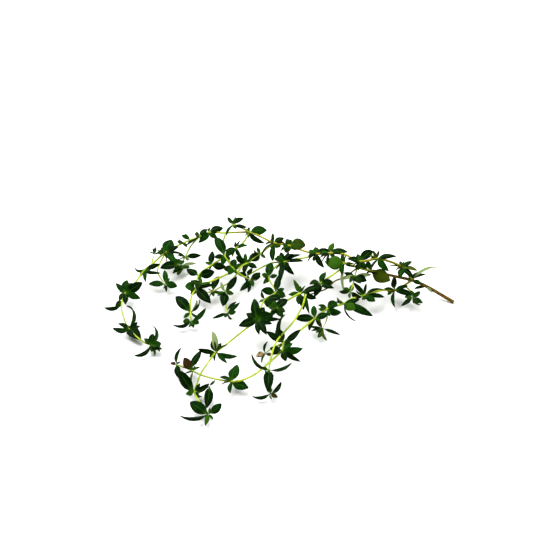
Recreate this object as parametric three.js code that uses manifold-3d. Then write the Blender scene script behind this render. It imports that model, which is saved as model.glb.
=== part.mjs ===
// A cut bunch of fresh thyme lying on a table: one woody stem that branches into thin shoots,
// with whorls of small leaves at their joints. Millimetres, +Z up, +X towards the cut end.
import * as THREE from 'three';
import { mergeVertices } from 'three/addons/utils/BufferGeometryUtils.js';
import Module from 'manifold-3d';

// Driving dimensions
const CLEARANCE = 0.3;
const STEM_SIDES = 5;
const STEM_STEPS_PER_SPAN = 2;
const COLLAR_SIDES = 5;
const LEAF_WIDTH_RATIO = 0.42;
const LEAF_WIDEST_AT = 0.45;
const LEAF_FACE_HEIGHT = 0.18;
const LEAF_KEEL_DEPTH = 0.27;
const LEAF_ARCH = 0.1;
const LEAF_ROOT_WIDTH = 0.7;
const LEAF_ROOT_INSIDE = 0.5;
const LEAF_FACES_TIP = 0.55;
const LEAF_FACES_UP = 0.85;
const LEAF_LEAST_OUTWARD = 0.2;
const KEEL_ROOM = 1.6;
const COLLAR_WALL = 0.45;
const COLLAR_HEIGHT = 1.1;
const COLLAR_ROOT_DEPTH = 0.2;
const OWN_STEM_GAP = 0.12;

// What is tried for a leaf that meets a neighbour: turned aside, raised, and a share of its length.
const TRIES = [[0, 0, 1], [0, 12, 1], [15, 0, 1], [-15, 0, 1], [0, -12, 1], [30, 5, 0.9],
  [-30, 5, 0.9], [0, 25, 0.9], [0, 0, 0.75], [15, 10, 0.75], [-15, 10, 0.75], [0, 0, 0.6],
  [25, 15, 0.6], [-25, 15, 0.6]];

const LEAF_GREEN = 0x24481c;
const YOUNG_GREEN = 0x3f6d2a;
const STEM_GREEN = 0x93ac45;
const BARK_BROWN = 0x6f4428;
const DRY_BROWN = 0x8a6a48;

// Each shoot: its radius where it starts and ends, and the points that it runs through.
// A shoot that is whole has its leaves in one piece with it.
const SHOOTS = {
  main_stem: {
    radii: [0.7, 0.42], colour: BARK_BROWN,
    path: [[70, 10, 0.8], [59, 15, 5], [53, 14, 9], [48, 14, 10.5], [40, 15, 12], [33, 17, 12.5],
      [26, 20, 13], [23, 22, 13]],
  },
  back_shoot: {
    radii: [0.48, 0.32], colour: STEM_GREEN,
    path: [[53, 14, 9], [49, 16, 14], [43, 19, 15], [39, 19, 16], [32, 18, 15.5], [26, 23, 15],
      [20, 25, 14], [15, 27, 12], [9.5, 28.5, 12.5], [4, 31, 13], [-2.5, 33, 13], [-7, 37, 12.5],
      [-12.5, 41, 12], [-23, 42, 11], [-29.5, 43.5, 10], [-33.5, 42, 9], [-40, 38.5, 8.5],
      [-47, 33, 8], [-52.5, 26, 7], [-55, 23, 7], [-58, 17, 6], [-62, 11, 5], [-63, 4, 4],
      [-62, -1, 3.5], [-59, -8.5, 3], [-53, -15.5, 3], [-50, -17.5, 3]],
  },
  front_shoot: {
    radii: [0.46, 0.32], colour: STEM_GREEN,
    path: [[53, 14, 9], [49, 13.5, 6], [46, 11.5, 6], [41.5, 11.5, 6], [34, 7.5, 7], [28.5, 5, 7],
      [25, 1, 8], [18.5, -2, 8], [13.5, -6.5, 7], [7, -15, 8], [1, -21.5, 8], [0.5, -25.5, 8],
      [-4, -29.5, 6], [-9.5, -35.5, 5.5], [-15, -38.5, 5], [-18.5, -38, 4], [-25, -36.5, 4],
      [-30, -34.5, 4], [-33, -32.5, 4], [-35.5, -30.5, 3.5], [-39.5, -28, 3]],
  },
  cross_shoot: {
    radii: [0.44, 0.34], colour: STEM_GREEN,
    path: [[26, 20, 13], [25, 18.5, 12], [23, 17, 11], [16, 11, 10], [11, 7, 9], [8.5, -3, 10],
      [5, -11.5, 10], [2, -16.5, 10], [-1.5, -22.5, 10], [-3, -27, 9.5], [-4, -31.5, 8],
      [-4.5, -34, 6], [-4.5, -41, 3], [-4, -43, 2.5]],
  },
  long_branch: {
    radii: [0.42, 0.32], colour: STEM_GREEN,
    path: [[11, 7, 9], [8, 6, 9], [2.5, 1.5, 9], [-1.5, -2.5, 8.5], [-9, -7.5, 6.5], [-13, -12, 7],
      [-21, -21, 6.5], [-24.5, -25, 6.5], [-28, -32.5, 7], [-30, -37, 6.5], [-31, -39.5, 5],
      [-32, -43, 3.5], [-31, -45.5, 3], [-28.5, -50, 3], [-26.5, -53, 2.5]],
  },
  cluster_shoot: {
    radii: [0.4, 0.3], colour: STEM_GREEN, whole: true,
    path: [[15, 27, 12], [11, 26, 11], [6, 26, 10], [2, 25, 9.5], [-3.5, 27, 7], [-11, 23, 5.5],
      [-13, 21.5, 5]],
  },
  star_shoot: {
    radii: [0.38, 0.34], colour: STEM_GREEN, whole: true,
    path: [[2, 25, 9.5], [-2, 22, 9], [-4.5, 17, 8], [-1.8, 7.8, 8], [-6, 3, 8.5], [-9, -10.5, 10]],
  },
  looped_shoot: {
    radii: [0.4, 0.34], colour: STEM_GREEN, whole: true,
    path: [[-12.5, 41, 12], [-16, 38, 17], [-19, 38.5, 18], [-22, 35.5, 16], [-23, 33, 14],
      [-22.5, 26.5, 11.5], [-21, 23.5, 11], [-19.2, 19.6, 11], [-15, 16, 9.5], [-12, 15.6, 8]],
  },
  inner_shoot: {
    radii: [0.4, 0.34], colour: STEM_GREEN, whole: true,
    path: [[-12.5, 41, 12], [-15, 35.5, 11], [-18, 33, 10], [-22, 32, 7], [-28, 27, 6],
      [-33, 20.5, 6], [-34, 13, 5.5], [-35.5, 8, 5], [-35.5, 1, 3.5], [-35, -4, 3]],
  },
  middle_shoot: {
    radii: [0.42, 0.34], colour: STEM_GREEN, whole: true,
    path: [[-2.5, 33, 13], [-5, 32, 11], [-8, 29.5, 10], [-13.5, 24.5, 9], [-15.5, 23.5, 8.5],
      [-22, 18.5, 8], [-28, 15, 7.5], [-31.5, 12.5, 8]],
  },
  middle_branch: {
    radii: [0.36, 0.32], colour: STEM_GREEN, whole: true,
    path: [[-15.5, 23.5, 8.5], [-18, 19, 7], [-20, 16.5, 6], [-24.5, 14.5, 4.5], [-27, 13, 4],
      [-31, 13, 3]],
  },
  hanging_shoot: {
    radii: [0.34, 0.3], colour: STEM_GREEN, whole: true,
    path: [[-20, 16.5, 6], [-22, 12, 4.5], [-21.5, 5, 3], [-21, 1, 3]],
  },
  fork_twig: {
    radii: [0.34, 0.3], colour: STEM_GREEN, whole: true,
    path: [[50, 13.5, 6.5], [52.5, 10.5, 6], [53, 8, 5]],
  },
  tuft_twig: {
    radii: [0.36, 0.3], colour: STEM_GREEN, whole: true,
    path: [[31, 17.5, 12.5], [30, 14.5, 11], [29.5, 12.5, 10], [28.5, 9, 9], [28, 8, 8]],
  },
  dry_twig: {
    radii: [0.34, 0.26], colour: DRY_BROWN, whole: true,
    path: [[31, 17.5, 12.5], [26, 16, 9], [22, 14, 8.5], [18.5, 10.5, 7.5], [12.5, 8.5, 6.5]],
  },
  front_twig: {
    radii: [0.34, 0.3], colour: STEM_GREEN, whole: true,
    path: [[18.5, -2, 8], [18.5, -3.5, 7], [18, -6, 5.5], [16.5, -9, 4]],
  },
  bud_twig: {
    radii: [0.34, 0.3], colour: STEM_GREEN, whole: true,
    path: [[1, -21.5, 8], [-3, -22, 6], [-6, -23, 4]],
  },
  side_twig: {
    radii: [0.34, 0.3], colour: STEM_GREEN, whole: true,
    path: [[-33.5, 42, 9], [-37, 38, 7], [-39, 34, 5], [-40, 32, 4], [-40.5, 30, 3.5]],
  },
  curled_twig: {
    radii: [0.34, 0.3], colour: STEM_GREEN, whole: true,
    path: [[-47, 33, 8], [-49.5, 27, 6], [-50, 24, 5], [-48.5, 21, 4], [-46.5, 18, 3.5]],
  },
  red_twig: {
    radii: [0.32, 0.28], colour: DRY_BROWN, whole: true,
    path: [[-47, 33, 8], [-46, 28, 6.5], [-41.5, 27, 6]],
  },
  upright_twig: {
    radii: [0.32, 0.28], colour: STEM_GREEN, whole: true,
    path: [[-52.5, 26, 7], [-52, 29, 8], [-51.5, 30.5, 9]],
  },
  foot_twig: {
    radii: [0.32, 0.28], colour: STEM_GREEN, whole: true,
    path: [[-32, -43, 3.5], [-29, -42, 4], [-26.5, -40.5, 4]],
  },
};

// Whorls on each shoot: the point that it grows at, then its leaves as [heading, rise, length],
// with the width where a leaf is unusually broad or slim. Heading 0 is +X and 90 is +Y.
const WHORLS = {
  main_stem: [
    [1, [-170, -5, 4.9, 1.9], [-50, -12, 4, 1.1]],
    [2, [25, 5, 11.8, 3.6], [22, 8, 6, 2.1], [50, 18, 4.4, 2.6]],
    [4, [-34, -8, 8.2, 5.8], [176, 0, 5.6, 3.1], [112, 20, 5, 2.2]],
    [6, [176, 3, 8, 6], [-30, -8, 4.6, 3.2], [-82, -18, 12.4, 3], [-100, -12, 6, 2.6]],
  ],
  back_shoot: [
    [1, [174, 3, 6, 1.9], [30, 15, 4.5, 2.8], [-18, -4, 6, 3.4], [-105, -12, 5.2, 3], [-52, -12, 6.8, 3]],
    [3, [-2, 0, 7.8, 3.6], [115, 20, 4.2, 1.3], [-55, -10, 7.5, 3], [-118, -12, 6.8, 3.2]],
    [4, [176, 10, 5.4, 3.8], [39, 15, 7.2, 4], [-100, -12, 4.4, 2.8], [-50, -15, 4.4, 2.4]],
    [6, [68, 20, 5, 2.6], [0, 8, 7.6, 3.2], [-128, -12, 5.2, 2], [-98, -10, 6.6, 2.2]],
    [7, [-135, -12, 5.6, 2.2], [-67, -10, 7.8, 2.6], [5, 8, 5.6, 3.2]],
    [9, [-6, 4, 6.6, 5.2], [-150, -8, 3.6, 2.7], [-110, -12, 3.8, 3.3]],
    [10, [95, 20, 4.6, 2], [25, 10, 4.8, 3], [-8, -2, 5, 2], [-91, -14, 9.3, 3.1], [-125, -12, 8.5, 2.2]],
    [12, [-2, 6, 7.5, 4.7], [-40, -8, 8.6, 3.7]],
    [14, [14, 10, 6.4, 4.4], [-130, -12, 6.8, 2.8], [-35, -10, 4.5, 2.4]],
    [15, [38, 18, 4.8, 2.7], [-140, -8, 7, 2.7]],
    [16, [152, 12, 4.3, 1.8], [128, 18, 3.8, 1.6], [175, 5, 2.6, 1.6]],
    [17, [66, 20, 6.3, 5.4], [22, 12, 5.8, 2.4], [-10, 0, 7.4, 1.4], [-52, -12, 8, 2.8]],
    [19, [18, 10, 6.8, 3.1], [-12, -5, 7.6, 2.6], [-85, -12, 6.8, 2.4], [-8, 0, 5.6, 1.1]],
    [21, [133, 15, 6, 2.4], [85, 20, 5.8, 3.4], [30, 15, 8, 4], [-25, -5, 6.8, 3], [-98, -12, 7.5, 3.4],
      [-120, -15, 4.5, 2.6], [60, 20, 5, 3], [-174, -5, 7.5, 3.4]],
    [24, [45, 15, 4.5, 1.6], [100, 25, 9.5, 3.8], [20, 5, 4.5, 2], [160, 20, 5, 2.6],
      [-174, -2, 6.5, 2.8], [-44, -3, 9.5, 4.8]],
    [26, [80, 20, 5, 3], [84, 15, 9, 3.4], [-150, -8, 8, 3.2], [-40, -5, 5.5, 2.8], [5, 5, 5, 3]],
  ],
  front_shoot: [
    [2, [90, 20, 6.2, 3.4], [-92, -12, 8.6, 3.5], [-178, 0, 4.8, 1.9], [-16, -5, 8, 3.4],
      [12, 8, 5.8, 2.8], [-35, -8, 5, 2.8]],
    [4, [14, 8, 7.6, 3], [-8, -2, 7.6, 2.1], [-38, -8, 4.8, 3.2], [82, 22, 5, 1.7], [135, 18, 7.2, 2.1]],
    [6, [15, 8, 6.6, 3.2], [-5, 3, 7.2, 3.8], [-25, -8, 12, 3.6], [-60, -15, 9, 2.2],
      [-28, -8, 4.6, 3.2], [155, 10, 4.5]],
    [7, [48, 20, 5.4, 4.1], [-18, -3, 5.6, 3.4]],
    [8, [92, 20, 5.7, 2.4], [179, 0, 7.9, 3.2], [22, 10, 5.7, 2.9], [-115, -12, 6.2, 2.3]],
    [10, [84, 24, 12, 4.2], [112, 22, 6.5, 3.8], [143, 10, 8.2, 2.6], [42, 10, 9, 2.8]],
    [11, [-34, -10, 8.6, 2.8], [0, 3, 8.4, 3], [35, 15, 5, 2.6], [172, 8, 4.6, 2.6],
      [-75, -15, 4.8, 2.8]],
    [15, [72, 22, 7, 3.7], [160, 5, 4.8, 1.7], [-92, -15, 4.9, 2.3], [-18, -8, 7, 4], [55, 15, 5, 2.6]],
    [18, [-88, -15, 6, 2.9], [38, 14, 8, 3.7], [50, 20, 10, 1.9]],
    [20, [76, 20, 7.2, 3.2], [-86, -8, 7.2, 2.8]],
  ],
  cross_shoot: [
    [3, [62, 20, 5.5, 2.5], [-140, -10, 6.8, 4.3], [6, 5, 5, 3.2], [-22, -5, 5.8, 3.2],
      [-165, 0, 4.4, 3]],
    [11, [134, 15, 9.4, 2.6], [18, 8, 9, 2.6], [-92, -12, 10, 3.9]],
    [13, [-175, -4, 6.8, 2.8], [51, 15, 6.5, 2.6]],
  ],
  long_branch: [
    [1, [115, 20, 6.6, 2.8], [-175, -5, 4.8, 2.1], [-100, -12, 5.4, 2.8], [-80, -20, 7.5, 2.6],
      [14, 10, 9.6, 3.2], [-28, -8, 5.6, 3], [-80, -14, 10.4, 1.9]],
    [3, [38, 15, 6, 3.6], [-60, -10, 4.6, 2.8], [-125, -10, 4.6, 2.6]],
    [7, [104, 22, 5.5, 2.6], [96, 28, 8.6, 2.6], [173, 8, 7, 2.2], [60, 20, 4.4, 1.8],
      [28, 20, 5.2, 2.2], [-16, -5, 8.3, 2.8], [-47, -12, 6.2, 1.8]],
    [11, [128, 20, 10.8, 4.6], [32, 10, 6.5, 2.6]],
    [13.7, [140, 10, 8.3, 4.2], [-163, -3, 10.6, 2.8], [42, 10, 6.3, 2.6], [-95, -8, 6, 2.4]],
  ],
  cluster_shoot: [
    [3, [115, 20, 4.6, 2.8], [68, 20, 4.8, 2.8], [22, 10, 7.6, 2.8], [0, 3, 7.8, 2.8],
      [-58, -12, 7.4, 2.8], [-100, -14, 9.4, 3.2], [-135, -10, 5, 2.6], [-75, -8, 5, 3.4],
      [35, 18, 5, 3.4], [170, 8, 4.4, 2.8]],
    [6, [60, 20, 4, 2.6], [165, 5, 4.4, 2.2], [-100, -10, 3.4, 2]],
  ],
  star_shoot: [
    [2, [82, 20, 7, 3.5], [-122, -12, 4, 1.8], [15, 5, 3.5]],
    [3, [173, 5, 5.6, 3.3], [80, 20, 8, 2.8], [-28, -5, 4.4, 3.3], [-72, -12, 4.4, 2]],
    [4, [102, 20, 4.4, 2.8], [-2, 10, 6.4, 4], [-55, -8, 4.8, 3.4]],
    [5, [98, 20, 9.2, 3.9], [148, 12, 5, 3], [-158, -5, 7.7, 3.7], [-65, -10, 8, 3.5],
      [-84, -12, 7.2, 2.2], [8, 10, 6.2, 4.8], [-18, -5, 6, 2.2], [2, 0, 9, 1.8], [60, 20, 6, 3.4]],
  ],
  looped_shoot: [
    [2, [130, 18, 4.8, 2.5], [35, 18, 5, 3.9], [-10, -3, 5.8, 1.7], [-118, -12, 6.3, 2.3]],
    [5, [117, 20, 9.6, 4.3], [35, 15, 4.6, 2.8], [-170, -3, 4.2, 2], [-100, -12, 5.2, 2.6]],
    [7, [80, 20, 3.8, 2.9], [-110, -12, 3.8, 2.9], [10, 8, 3.6, 1.6]],
    [9, [-128, -12, 6.8, 2.3], [-97, -12, 6.6, 2.1], [34, 15, 5, 2.5], [15, 5, 4.4, 2.4]],
  ],
  inner_shoot: [
    [2, [62, 20, 4.2, 1.7], [14, 8, 5, 2.5], [-160, -5, 5, 2.5], [-62, -12, 5.2, 2]],
    [4, [88, 22, 6.5, 2.9], [-10, -3, 6.2, 3.3]],
    [5, [150, 12, 5.7, 3.9], [12, 8, 6.6, 4]],
    [6, [168, 8, 4.2, 3.9], [4, 8, 7.5, 3.5], [-47, -12, 9.4, 4.1]],
    [8, [132, 15, 9.5, 4.9], [60, 15, 6.8, 2.8], [68, 18, 6, 2.2]],
    [9, [46, 15, 8.2, 3.2], [-170, -4, 7.4, 3]],
  ],
  middle_shoot: [
    [2, [-146, -6, 6, 4.1], [-40, -15, 2.8], [110, 20, 3.2]],
    [3, [145, 12, 5.4, 2.6], [95, 20, 4.7, 1.6], [-25, -8, 4.6, 2.2], [-100, -12, 5.5, 2.8]],
    [7, [163, 12, 4.6, 2.2], [12, 8, 3.6, 1.8], [100, 20, 3, 1.8]],
  ],
  middle_branch: [
    [4, [68, 20, 7.2, 3], [-15, -5, 4.2, 1.4]],
  ],
  hanging_shoot: [
    [1, [112, 20, 5, 2], [54, 20, 8.4, 3.7], [-95, -10, 7.4, 3.8]],
    [3, [-155, -4, 6.5, 2], [42, 12, 6.9, 2.7], [44, 14, 5.5, 1.5]],
  ],
  fork_twig: [
    [2, [-140, -8, 6.5, 1.9], [40, 15, 4.2, 1.9], [-35, -8, 4.6, 2.1]],
  ],
  tuft_twig: [
    [1, [6, 0, 6.6, 1.8], [-30, -8, 5.2, 3.4], [-62, -12, 4.4, 3.2], [-142, -10, 7, 3.3],
      [168, 8, 5, 2.4]],
    [4, [180, 0, 4.6, 1.8], [-30, -8, 5, 2.8]],
  ],
  front_twig: [
    [3, [122, 18, 5.2, 1.9], [172, 3, 5.3, 1.5], [-175, -6, 4.8, 1.5], [-85, -10, 5.8, 2],
      [-28, -5, 7.7, 2.6], [-140, -8, 4.2, 1.9]],
  ],
  bud_twig: [
    [2, [-160, -8, 3.6, 2.4], [75, 25, 5, 1.7], [-10, -5, 3.2, 1.4]],
  ],
  side_twig: [
    [2, [2, 3, 6.3, 2.3], [172, 3, 3.4, 1.3], [-50, -10, 2.6, 1.1]],
    [4, [6, 4, 6, 1.3], [-128, -10, 5.5, 2.1]],
  ],
  curled_twig: [
    [4, [178, 0, 6.8, 3], [-12, -5, 5, 3.1], [-80, -8, 4.4, 2.1], [95, 20, 6.6, 3.1]],
  ],
  red_twig: [
    [2, [-170, -3, 7.7, 3.7], [135, 18, 4.2, 2.5]],
  ],
  upright_twig: [
    [2, [100, 20, 2.8, 1.7], [20, 15, 2.6, 1.5], [5, 5, 2.8, 1.4]],
  ],
  foot_twig: [
    [2, [48, 12, 3.4, 1], [-106, -10, 9.8, 3.2], [100, 20, 3, 1.2]],
  ],
};

const wasm = await Module();
wasm.setup();

function toSolid(geometry) {
  const bare = new THREE.BufferGeometry();
  bare.setAttribute('position', geometry.getAttribute('position').clone());
  bare.setIndex(geometry.getIndex());
  const merged = mergeVertices(bare, 1e-5);
  const triVerts = [];
  const index = merged.getIndex().array;
  for (let i = 0; i < index.length; i += 3) {
    const [a, b, c] = [index[i], index[i + 1], index[i + 2]];
    if (a !== b && b !== c && c !== a) triVerts.push(a, b, c);
  }
  const vertProperties = new Float32Array(merged.getAttribute('position').array);
  const mesh = new wasm.Mesh({ numProp: 3, vertProperties, triVerts: new Uint32Array(triVerts) });
  return new wasm.Manifold(mesh);
}

function toGeometry(solid) {
  const { vertProperties, triVerts } = solid.getMesh();
  const geometry = new THREE.BufferGeometry();
  geometry.setAttribute('position', new THREE.BufferAttribute(new Float32Array(vertProperties), 3));
  geometry.setIndex(new THREE.BufferAttribute(new Uint32Array(triVerts), 1));
  geometry.computeVertexNormals();
  return geometry;
}

function curveOf(shoot) {
  return new THREE.CatmullRomCurve3(shoot.path.map((point) => new THREE.Vector3(...point)));
}

// A direction square to the shoot that doesn't spin along it.
function sideOf(tangent) {
  const side = new THREE.Vector3(0, 0, 1).cross(tangent);
  return side.lengthSq() < 1e-6 ? new THREE.Vector3(1, 0, 0) : side.normalize();
}

// A tapered rod of a few sides, bent along the shoot's curve.
function makeStem(shoot, extra) {
  const curve = curveOf(shoot);
  const steps = (shoot.path.length - 1) * STEM_STEPS_PER_SPAN;
  const rod = new THREE.CylinderGeometry(1, 1, 1, STEM_SIDES, steps);
  const place = rod.getAttribute('position');
  for (let i = 0; i < place.count; i += 1) {
    const t = THREE.MathUtils.clamp(place.getY(i) + 0.5, 0, 1);
    const at = curve.getPoint(t);
    const tangent = curve.getTangent(t);
    const side = sideOf(tangent);
    const over = new THREE.Vector3().crossVectors(tangent, side);
    const radius = THREE.MathUtils.lerp(shoot.radii[0], shoot.radii[1], t) + extra;
    at.addScaledVector(side, place.getX(i) * radius);
    at.addScaledVector(over, -place.getZ(i) * radius);
    place.setXYZ(i, at.x, at.y, at.z);
  }
  return toSolid(rod);
}

function whorlFrame(shoot, index) {
  const curve = curveOf(shoot);
  const t = index / (shoot.path.length - 1);
  return {
    at: curve.getPoint(t),
    tangent: curve.getTangent(t),
    radius: THREE.MathUtils.lerp(shoot.radii[0], shoot.radii[1], t),
  };
}

function collarInside(radius) {
  return (radius + CLEARANCE) / Math.cos(Math.PI / COLLAR_SIDES);
}

// The ring of tissue that carries a whorl, loose around its shoot.
function makeCollar({ at, tangent, radius }, extra) {
  const inner = collarInside(radius) - extra;
  const outer = inner + COLLAR_WALL + 2 * extra;
  const half = COLLAR_HEIGHT / 2 + extra;
  const profile = [[inner, -half], [outer, -half], [outer, half], [inner, half], [inner, -half]];
  const ring = new THREE.LatheGeometry(profile.map(([x, y]) => new THREE.Vector2(x, y)), COLLAR_SIDES);
  ring.applyQuaternion(new THREE.Quaternion().setFromUnitVectors(new THREE.Vector3(0, 1, 0), tangent));
  ring.translate(at.x, at.y, at.z);
  return toSolid(ring);
}

// A leaf is a slim blade with a flat upper face and a keel, arched over its length.
// A part of it that would be under the table is lifted onto it.
function makeLeaf(frame, [heading, rise, length, width = LEAF_WIDTH_RATIO * length], rootRadius, extra) {
  const turn = THREE.MathUtils.degToRad(heading);
  const lift = THREE.MathUtils.degToRad(rise);
  const level = Math.cos(lift);
  const along = new THREE.Vector3(level * Math.cos(turn), level * Math.sin(turn), Math.sin(lift));
  const facing = frame.tangent.clone().multiplyScalar(LEAF_FACES_TIP);
  facing.z += LEAF_FACES_UP;
  facing.addScaledVector(along, -facing.dot(along)).normalize();
  const across = new THREE.Vector3().crossVectors(facing, along);
  const outward = along.clone().addScaledVector(frame.tangent, -along.dot(frame.tangent));
  if (outward.length() < LEAF_LEAST_OUTWARD) outward.copy(facing);
  const root = frame.at.clone().addScaledVector(outward.normalize(), rootRadius);
  const stations = [[0, LEAF_ROOT_WIDTH, -extra], [LEAF_WIDEST_AT, width, 0], [1, 0, extra]];
  const corners = [];
  for (const [t, wide, beyond] of stations) {
    const middle = root.clone().addScaledVector(along, length * t + beyond);
    middle.addScaledVector(facing, length * LEAF_ARCH * 4 * t * (1 - t));
    const half = wide / 2 + extra;
    const face = LEAF_FACE_HEIGHT + extra;
    const keel = LEAF_KEEL_DEPTH + extra * KEEL_ROOM;
    const ring = t === 1
      ? [middle]
      : [
        middle.clone().addScaledVector(across, half).addScaledVector(facing, face),
        middle.clone().addScaledVector(across, -half).addScaledVector(facing, face),
        middle.clone().addScaledVector(facing, -keel),
      ];
    const lowest = Math.min(...ring.map((corner) => corner.z));
    for (const corner of ring) corner.z += Math.max(0, -lowest);
    corners.push(ring);
  }
  return toSolid(bladeGeometry(corners));
}

function bladeGeometry(rings) {
  const position = [];
  const put = (a, b, c) => position.push(...a, ...b, ...c);
  const [first, widest, [tip]] = rings;
  put(first[0], first[2], first[1]);
  for (let k = 0; k < 3; k += 1) {
    const next = (k + 1) % 3;
    put(first[k], first[next], widest[k]);
    put(first[next], widest[next], widest[k]);
    put(widest[k], widest[next], tip);
  }
  const geometry = new THREE.BufferGeometry();
  geometry.setAttribute('position', new THREE.Float32BufferAttribute(position, 3));
  geometry.setIndex([...Array(position.length / 3).keys()]);
  return geometry;
}

function boxesMeet(a, b) {
  const [p, q] = [a.boundingBox(), b.boundingBox()];
  return [0, 1, 2].every((k) => p.min[k] <= q.max[k] && q.min[k] <= p.max[k]);
}

// What is left of a solid after its neighbours are cut away: the piece that reaches nearest to a point.
function clearOf(solid, obstacles, point) {
  const near = obstacles.filter((other) => boxesMeet(solid, other));
  if (near.length === 0) return solid;
  const cut = near.reduce((rest, other) => rest.subtract(other), solid);
  const pieces = cut.decompose();
  if (pieces.length < 2) return cut;
  return pieces.reduce((best, piece) => (gapTo(piece, point) < gapTo(best, point) ? piece : best));
}

function gapTo(solid, point) {
  const { vertProperties: v } = solid.getMesh();
  let nearest = Infinity;
  for (let i = 0; i < v.length; i += 3) {
    nearest = Math.min(nearest, point.distanceTo(new THREE.Vector3(v[i], v[i + 1], v[i + 2])));
  }
  return nearest;
}

const bundle = new THREE.Group();
bundle.name = 'thyme_bundle';

function addNode(name, solid, colour) {
  const material = new THREE.MeshStandardMaterial({ color: colour, roughness: 0.55, metalness: 0 });
  const mesh = new THREE.Mesh(toGeometry(solid), material);
  mesh.name = name;
  bundle.add(mesh);
}

const stems = {};
const stemRooms = {};

// The room that every other shoot takes up.
function otherStemRooms(name) {
  return Object.keys(stemRooms).filter((other) => other !== name).map((other) => stemRooms[other]);
}

// Shoots first: each starts clear of the one that it grows from.
for (const [name, shoot] of Object.entries(SHOOTS)) {
  const middle = curveOf(shoot).getPoint(0.5);
  stems[name] = clearOf(makeStem(shoot, 0), Object.values(stemRooms), middle);
  stemRooms[name] = makeStem(shoot, CLEARANCE);
}

// Then the collars, clear of every other shoot.
const whorls = [];
for (const [name, list] of Object.entries(WHORLS)) {
  list.forEach(([index, ...leaves], number) => {
    const frame = whorlFrame(SHOOTS[name], index);
    const whorl = { shoot: name, number: number + 1, frame, leaves };
    if (!SHOOTS[name].whole) {
      const others = otherStemRooms(name);
      others.push(makeStem(SHOOTS[name], OWN_STEM_GAP));
      const onWall = frame.at.clone().addScaledVector(sideOf(frame.tangent), frame.radius + CLEARANCE);
      whorl.collar = clearOf(makeCollar(frame, 0), others, onWall);
      whorl.collarRoom = makeCollar(frame, CLEARANCE);
    }
    whorls.push(whorl);
  });
}

// Then the leaves. One that meets a neighbour is moved by the next of TRIES until it is clear.
const leafRooms = [];

function placeLeaf(frame, [heading, rise, length, width], rootRadius, obstacles) {
  for (const [aside, raise, share] of TRIES) {
    const leaf = [heading + aside, rise + raise, length * share, width];
    const solid = makeLeaf(frame, leaf, rootRadius, 0);
    const near = obstacles.filter((other) => boxesMeet(solid, other));
    if (near.every((other) => solid.intersect(other).isEmpty())) return { leaf, solid };
  }
  return null;
}

for (const whorl of whorls) {
  const { shoot, frame } = whorl;
  const whole = SHOOTS[shoot].whole === true;
  const onStem = frame.radius * LEAF_ROOT_INSIDE;
  const onCollar = collarInside(frame.radius) + COLLAR_ROOT_DEPTH;
  const rootRadius = whole ? onStem : onCollar;
  const owner = whole ? shoot : whorl;
  const obstacles = [
    ...otherStemRooms(shoot),
    ...whorls.filter((other) => other !== whorl && other.collarRoom).map((other) => other.collarRoom),
    ...leafRooms.filter((other) => other.owner !== owner).map((other) => other.room),
  ];
  if (!whole) obstacles.push(makeStem(SHOOTS[shoot], OWN_STEM_GAP));
  let body = whole ? stems[shoot] : whorl.collar;
  for (const wanted of whorl.leaves) {
    const placed = placeLeaf(frame, wanted, rootRadius, obstacles);
    const joined = placed ? body.add(placed.solid) : body;
    if (placed && joined.decompose().length === 1) {
      body = joined;
      leafRooms.push({ owner, room: makeLeaf(frame, placed.leaf, rootRadius, CLEARANCE) });
    }
  }
  if (whole) stems[shoot] = body;
  else addNode(`${shoot}_leaves_${whorl.number}`, body, whorl.number % 2 ? LEAF_GREEN : YOUNG_GREEN);
}
for (const [name, solid] of Object.entries(stems)) addNode(name, solid, SHOOTS[name].colour);

// The bunch stands on the table with the middle of its outline at the origin.
const outline = new THREE.Box3().setFromObject(bundle);
const middle = outline.getCenter(new THREE.Vector3());
bundle.position.set(-middle.x, -middle.y, -outline.min.z);

export default bundle;
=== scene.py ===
import math
import random

import bpy
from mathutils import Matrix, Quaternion, Vector


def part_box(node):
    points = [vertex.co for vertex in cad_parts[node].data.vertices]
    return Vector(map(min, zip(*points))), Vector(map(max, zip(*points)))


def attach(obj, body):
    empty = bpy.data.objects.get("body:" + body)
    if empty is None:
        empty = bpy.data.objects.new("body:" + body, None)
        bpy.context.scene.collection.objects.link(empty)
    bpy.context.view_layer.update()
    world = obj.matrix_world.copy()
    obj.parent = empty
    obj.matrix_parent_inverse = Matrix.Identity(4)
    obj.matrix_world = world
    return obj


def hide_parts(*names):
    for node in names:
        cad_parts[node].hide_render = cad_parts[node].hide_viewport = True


# A cut bunch of fresh thyme lying on a table: shoots, and whorls of small leaves at their joints.
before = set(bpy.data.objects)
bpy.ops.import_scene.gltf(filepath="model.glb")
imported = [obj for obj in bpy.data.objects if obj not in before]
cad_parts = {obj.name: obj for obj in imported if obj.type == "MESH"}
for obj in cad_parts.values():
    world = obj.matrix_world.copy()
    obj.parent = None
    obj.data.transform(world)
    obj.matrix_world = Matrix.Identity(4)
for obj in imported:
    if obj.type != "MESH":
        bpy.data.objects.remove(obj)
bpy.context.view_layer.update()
mm = 0.001
up = Vector((0, 0, 1))

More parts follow.
